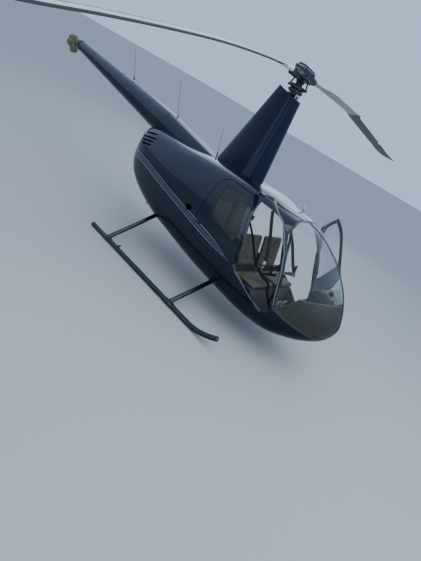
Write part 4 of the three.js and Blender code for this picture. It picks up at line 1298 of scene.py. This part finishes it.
shaft = turned("shaft", [(0, 0), (0.055, 0), (0.062, 0.01), (0.062, 0.07), (0.068, 0.075), (0.068, 0.09),
                         (0.055, 0.1), (0.055, 0.235), (0.048, 0.242), (0.048, 0.268), (0.03, 0.272),
                         (0, 0.272)])
aimed(case, gearbox_foot, gearbox_axis)
aimed(neck, boom_end + boom_line * 0.075, boom_line)
aimed(shaft, shaft_foot, (0, 1, 0))
gearbox = joined("tail_gearbox_casting", [case, neck, shaft])
finished(gearbox, primer, angle=30)
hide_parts("tail_gearbox")
flange_bolts = []
for i in range(6):
    turn = math.tau * i / 6
    out = Vector((math.cos(turn), 0, math.sin(turn)))
    flange_bolts.append((shaft_foot + out * 0.045, (0, -1, 0)))
    side = gearbox_axis.cross(Vector((0, 1, 0)))
    rim = Vector((0, math.cos(turn), 0)) + side * math.sin(turn)
    flange_bolts.append((gearbox_foot + gearbox_axis * 0.165 + rim * 0.087, gearbox_axis))
bolts("gearbox_bolts", flange_bolts, 0.007, steel)

# Mast fairing: an upright teardrop of formed sheet that leans forward, open
# round the mast at its top.
fairing_levels = [
    {"aft": -0.658, "fore": 0.267, "half": 0.178, "z": 1.640, "tilt": 0.0},
    {"aft": -0.258, "fore": 0.150, "half": 0.105, "z": 2.938, "tilt": -0.22},
]


def fairing_form(name, inset, drop):
    rings = []
    for level in fairing_levels:
        middle, half_length = (level["fore"] + level["aft"]) / 2, (level["fore"] - level["aft"]) / 2 - inset
        ring = []
        for i in range(72):
            angle = math.tau * i / 72
            x = middle + half_length * math.cos(angle)
            ring.append((mast_x + x, (level["half"] - inset) * math.sin(angle) * (1 + 0.3 * math.cos(angle)),
                         level["z"] + level["tilt"] * x - drop))
        rings.append(ring)
    return lofted(name, rings)


fairing_wall = 0.012
fairing = combined(fairing_form("mast_fairing_skin", 0, 0), fairing_form("hollow", fairing_wall, fairing_wall),
                   "DIFFERENCE")
combined(fairing, pod_outer, "DIFFERENCE", keep=True)
combined(fairing, cone("spine_room", spine_front, spine_rear, 0.176, 0.213), "DIFFERENCE")
fairing_mouth = stations([(-0.115, 2.8), (0.105, 2.8), (0.105, 3.1), (-0.115, 3.1)])
combined(fairing, slab(rounded(fairing_mouth, 0.02), -0.062, 0.062), "DIFFERENCE")
# The fairing's navy is lighter and bluer than the pod's and nearly unglossed: the lift in colour is a painted
# sky reflection on the same paint.
fairing_navy_painted_reflection = gloss_paint("fairing_navy_painted_reflection", (0.0065, 0.0115, 0.0235), (0.028, 0.031, 0.036), 0.14)
finished(fairing, fairing_navy_painted_reflection, angle=30)
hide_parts("mast_fairing")

# Mast and swashplate: the shaft rises through a fixed tube; a fixed ring on
# three push rods carries the turning ring and its two pitch links.
mast_foot = Vector((mast_x, 0, 0))
rubber = gloss_paint("rubber_boot", (0.012, 0.012, 0.012), (0.04, 0.04, 0.04))
nodes["mast_tube"].data.materials[0] = dark_steel
folds = [(0.062 if i % 2 else 0.082, 2.80 + i * 0.018) for i in range(9)]
boot = [(0.045, 2.80), *folds, (0.058, 2.952), (0.058, 2.972), (0.045, 2.972), (0.045, 2.80)]
mast_boot = finished(aimed(turned("mast_boot", boot), mast_foot, (0, 0, 1)), rubber, angle=50)
plate = turned("swashplate_ring", [(0.037, 2.978), (0.088, 2.978), (0.092, 2.984), (0.105, 2.986),
                                   (0.105, 3.008), (0.096, 3.012), (0.092, 3.018), (0.037, 3.018),
                                   (0.037, 2.978)])
aimed(plate, mast_foot, (0, 0, 1))
finished(plate, dark_steel, angle=30)
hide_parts("swashplate")
for i, (x, y) in enumerate([(0.07, 0.035), (0.07, -0.035), (-0.082, 0)]):
    rod = tube(f"push_rod_{i + 1}", [ahead(x, y, 2.78), ahead(x, y, 2.98)], 0.008, steel, sides=16)
rotor_turn = Matrix.Translation(mast_foot) @ Matrix.Rotation(math.radians(93), 4, "Z")
hub_z = 3.215


def to_rotor(piece):
    piece.data.transform(rotor_turn)
    return piece


shaft = turned("rotor_mast_shaft", [(0, 2.942), (0.029, 2.942), (0.029, 3.111), (0, 3.111)])
finished(to_rotor(shaft), steel, "rotor")
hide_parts("rotor_mast")
turning_ring = turned("turning_ring", [(0.031, 3.026), (0.092, 3.026), (0.108, 3.032), (0.108, 3.062),
                                       (0.100, 3.072), (0.062, 3.072), (0.050, 3.080), (0.050, 3.108),
                                       (0.031, 3.108), (0.031, 3.026)])
links = [turning_ring]
arm_z, link_y = 3.05, 0.138
rod_end = [(0, -0.012), (0.010, -0.012), (0.015, -0.005), (0.015, 0.005), (0.010, 0.012), (0, 0.012)]
for side, top in ((1, hub_z - 0.045), (-1, hub_z - 0.065)):
    inner, outer = Vector((0, side * 0.09, arm_z)), Vector((0, side * 0.152, arm_z))
    foot, head = Vector((0, side * link_y, arm_z)), Vector((side * 0.06, side * link_y, top))
    links.append(cone("arm", inner, outer, 0.020, 0.014, 20))
    links.append(cone("rod", foot, head, 0.0105, 0.0105, 20))
    for end in (foot, head):
        links.append(aimed(turned("rod_end", rod_end, 20), end, (1, 0, 0)))
pitch_links = finished(to_rotor(joined("pitch_link_set", links)), dark_steel, "rotor")
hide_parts("pitch_links")

# Rotor hub: a machined yoke between two plates on a teeter bolt through the
# mast, with a coning bolt at each end for the blade roots and two pitch horns.
plate_steel = cast_metal("bare_plate", (0.40, 0.43, 0.46), (0.16, 0.17, 0.18), 0.35, 0.7)
trunnion = [(0, 0), (0.058, 0), (0.062, 0.006), (0.060, 0.040), (0.052, 0.048), (0.05, 0.18), (0, 0.18)]
hub_parts = [
    block("yoke", (-0.180, -0.050, hub_z - 0.066), (0.186, 0.050, hub_z + 0.080), 0.008),
    block("low_root", (-0.309, -0.050, hub_z - 0.094), (-0.105, 0.050, hub_z - 0.002), 0.012),
    block("low_lug", (-0.232, -0.046, hub_z - 0.010), (-0.150, 0.046, hub_z + 0.048), 0.008),
    aimed(turned("trunnion", trunnion), (0, 0, hub_z - 0.103), (0, 0, 1)),
    cone("spindle", Vector((0.18, 0, hub_z + 0.004)), Vector((0.309, 0, hub_z + 0.006)), 0.052, 0.046, 36),
]
bosses = [(0.005, 0.01, 0.040, 0.058), (0.135, 0.005, 0.034, 0.058), (-0.235, -0.048, 0.034, 0.055)]
for x, z, radius, half in bosses:
    boss = [(0, half), (radius * 0.5, half), (radius * 0.5, half - 0.004), (radius * 0.9, half - 0.004),
            (radius, half - 0.008)]
    boss = [(r, -along) for r, along in boss] + boss[::-1]
    hub_parts.append(aimed(turned("bolt_boss", boss, 32), (x, 0, hub_z + z), (0, 1, 0)))
for side, z in ((1, hub_z - 0.040), (-1, hub_z - 0.060)):
    horn = block("horn", (side * 0.045, side * 0.04, z), (side * 0.16, side * 0.15, z + 0.025), 0.006)
    hub_parts.append(horn)
hub = joined("rotor_hub_yoke", hub_parts)
finished(to_rotor(hub), dark_steel, "rotor", 30)
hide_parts("rotor_hub")
plate_rows = [
    ("top_plate", -0.185, 0.145, 0.088),
    ("top_shim", -0.185, 0.150, 0.066),
    ("middle_plate", -0.238, -0.150, 0.050),
    ("root_plate", -0.290, -0.108, 0.000),
    ("root_shim", -0.285, -0.115, -0.020),
]
plates = []
for name, x_from, x_to, z in plate_rows:
    plates.append(block(name, (x_from, -0.055, hub_z + z - 0.004), (x_to, 0.055, hub_z + z + 0.004), 0.002))
plates = finished(to_rotor(joined("rotor_hub_plates", plates)), plate_steel, "rotor", 30)
bolt_places = []
for x in (-0.16, -0.09, -0.02, 0.05, 0.12):
    for y in (-0.035, 0.035):
        bolt_places.append(((x, y, hub_z + 0.0915), (0, 0, 1)))
to_rotor(bolts("rotor_hub_bolts", bolt_places, 0.004, steel, "rotor"))

# Blades: bonded metal blades of constant chord, painted light at the root;
# one is kinked, torn at the trailing edge and ends in a point, one droops.
# reach from the mast, height, distance of the leading edge ahead of the pitch axis, chord, thickness
rising_blade = [
    (0.310, 3.221, 0.024, 0.095, 0.070), (0.460, 3.224, 0.030, 0.120, 0.050),
    (0.640, 3.229, 0.064, 0.254, 0.030), (1.250, 3.240, 0.064, 0.254, 0.030),
    (1.790, 3.246, 0.064, 0.254, 0.030), (1.835, 3.243, 0.064, 0.280, 0.030),
    (1.880, 3.235, 0.064, 0.254, 0.030), (2.680, 3.177, 0.064, 0.254, 0.030),
    (3.550, 3.125, 0.064, 0.254, 0.030), (4.270, 3.078, 0.064, 0.254, 0.030),
    (4.700, 3.066, 0.035, 0.225, 0.024), (4.890, 3.062, -0.035, 0.145, 0.016),
    (5.030, 3.060, -0.120, 0.050, 0.010),
]
drooping_blade = [
    (0.310, 3.184, 0.024, 0.095, 0.070), (0.460, 3.166, 0.030, 0.120, 0.050),
    (0.640, 3.144, 0.064, 0.254, 0.030), (1.120, 3.068, 0.064, 0.254, 0.030),
    (1.730, 2.947, 0.064, 0.254, 0.030), (2.433, 2.774, 0.064, 0.254, 0.030),
    (3.032, 2.611, 0.064, 0.254, 0.030), (3.588, 2.449, 0.064, 0.254, 0.030),
    (4.300, 2.275, 0.064, 0.254, 0.030), (4.960, 2.150, 0.064, 0.254, 0.030),
    (5.030, 2.140, 0.038, 0.150, 0.010),
]
aerofoil = through([(0.0, 0.0), (0.006, 0.22), (0.03, 0.5), (0.08, 0.75), (0.18, 0.95), (0.3, 1.0),
                    (0.5, 0.83), (0.75, 0.45), (0.995, 0.03)], 3)


blade_slant = 0.0524


def blade_paint(name, facing_ahead, light, light_to, rust_from):
    """Worn grey, dark along the leading edge, rusty along the other, and pale on the upper side and only near
    the root below; the pale colour is given per blade and carries painted light and shade.
    """
    material, shader, place = new_finish(name)
    reach_out = place.axis(1)
    aside = place.axis(0) - mast_x
    before = (aside + reach_out * blade_slant) * facing_ahead
    upward = place.node("ShaderNodeNewGeometry", {}, {}, 1).axis(2)
    length = reach_out.maths("ABSOLUTE", reach_out)
    ragged = place.noise(14, 4) * 0.12 + aside * 0.5 + length
    above = upward.step(-0.1, 0.25)
    root = 1 - ragged.step(light_to, light_to + 0.07)
    pale = root.maths("MAXIMUM", root, above)
    grime = place.noise(5, 6).step(0.5, 0.85) * 0.5
    rust = ragged.step(rust_from, rust_from + 0.25) * place.noise(14, 5).step(0.30, 0.45)
    flaking = above * (0 - before).step(0.09, 0.13) * place.noise(9, 5).step(0.25, 0.5)
    shade = grime.mix(pale.mix((0.040, 0.040, 0.038, 1), (*light, 1)), (0.12, 0.12, 0.12, 1))
    shade = (rust + flaking).mix(shade, (0.22, 0.10, 0.055, 1))
    feed(shader, "Base Color", (above * before.step(0.030, 0.038)).mix(shade, (0.030, 0.030, 0.030, 1)))
    feed(shader, "Roughness", 0.35 + grime * 0.25)
    shader.inputs["Specular IOR Level"].default_value = 0.25
    bumped(shader, place.noise(60, 3), 0.0005, 0.4)
    return material


def blade_form(name, table, pitch):
    """One blade lofted over its stations, out along X, its trailing edge raised by a pitch."""
    cosine, sine = math.cos(math.radians(pitch)), math.sin(math.radians(pitch))
    rings = []
    for r, z, lead, chord, thick in through(table, 6):
        ring = []
        for face, shares in ((1, aerofoil), (-1, aerofoil[:0:-1])):
            for back, half in shares:
                y, rise = lead - back * chord, face * half * thick / 2
                ring.append((r, y * cosine + rise * sine, z - y * sine + rise * cosine))
        rings.append(ring)
    return lofted(name, rings)


# The two blades share one paint, but the pale colour is set per blade: whiter on the drooping blade, whose top
# is seen lit against the sky, and greyer on the rising one, whose underside is seen in shade. The difference is
# painted light and shade.
blades = [
    (1, rising_blade, 6, (0.46, 0.45, 0.42), 1.87, 4.45),
    (2, drooping_blade, 0, (0.72, 0.71, 0.69), 0.7, 6.0),
]
for number, table, pitch, light, light_to, rust_from in blades:
    blade = blade_form(f"blade_{number}", table, pitch)
    if number == 1:
        notch = block("notch", (3.40, -0.26, 3.0), (3.56, -0.145, 3.3), 0.02)
        combined(blade, notch, "DIFFERENCE")
    else:
        blade.data.transform(Matrix.Rotation(math.pi, 4, "Z"))
    paint = blade_paint(f"blade_paint_{number}", number * 2 - 3, light, light_to, rust_from)
    finished(to_rotor(blade), paint, "rotor", 40)
    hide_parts(f"rotor_blade_{number}")

# Aerials: sprung steel whips in tapered sockets along the spine and boom,
# and a short air temperature probe in the roof.
aerials = [
    ("front", (-0.658, 1.735), (-0.790, 2.130)),
    ("middle", (-1.712, 1.866), (-2.010, 2.385)),
    ("rear", (-3.072, 1.996), (-3.345, 2.455)),
]
for name, foot, tip in aerials:
    foot, tip = (Vector(ahead(x, 0, z)) for x, z in (foot, tip))
    along = (tip - foot).length
    whip = turned(f"aerial_{name}_whip", [(0, 0), (0.019, 0), (0.019, 0.006), (0.014, 0.012), (0.010, 0.05),
                                          (0.0075, 0.07), (0.0042, 0.075), (0.0022, along - 0.004),
                                          (0.0035, along - 0.003), (0.0035, along), (0, along)], 20)
    finished(aimed(whip, foot, tip - foot), black, angle=50)
    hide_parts(f"aerial_{name}")
probe_foot, probe_tip = Vector(ahead(0.918, 0.25, 1.73)), Vector(ahead(0.868, 0.25, 1.842))
probe = turned("roof_probe_shield", [(0, 0), (0.02, 0), (0.02, 0.03), (0.012, 0.036), (0.011, 0.09),
                                     (0.006, 0.12), (0, 0.1226)], 24)
finished(aimed(probe, probe_foot, probe_tip - probe_foot), steel, angle=50)
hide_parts("roof_probe")

for tool in [pod_outer, pod_inner, skin, cowling, glass_outer, glass_inner, pane_skin, trim_outer, trim_skin,
             *openings, *cross_holes]:
    bpy.data.objects.remove(tool)
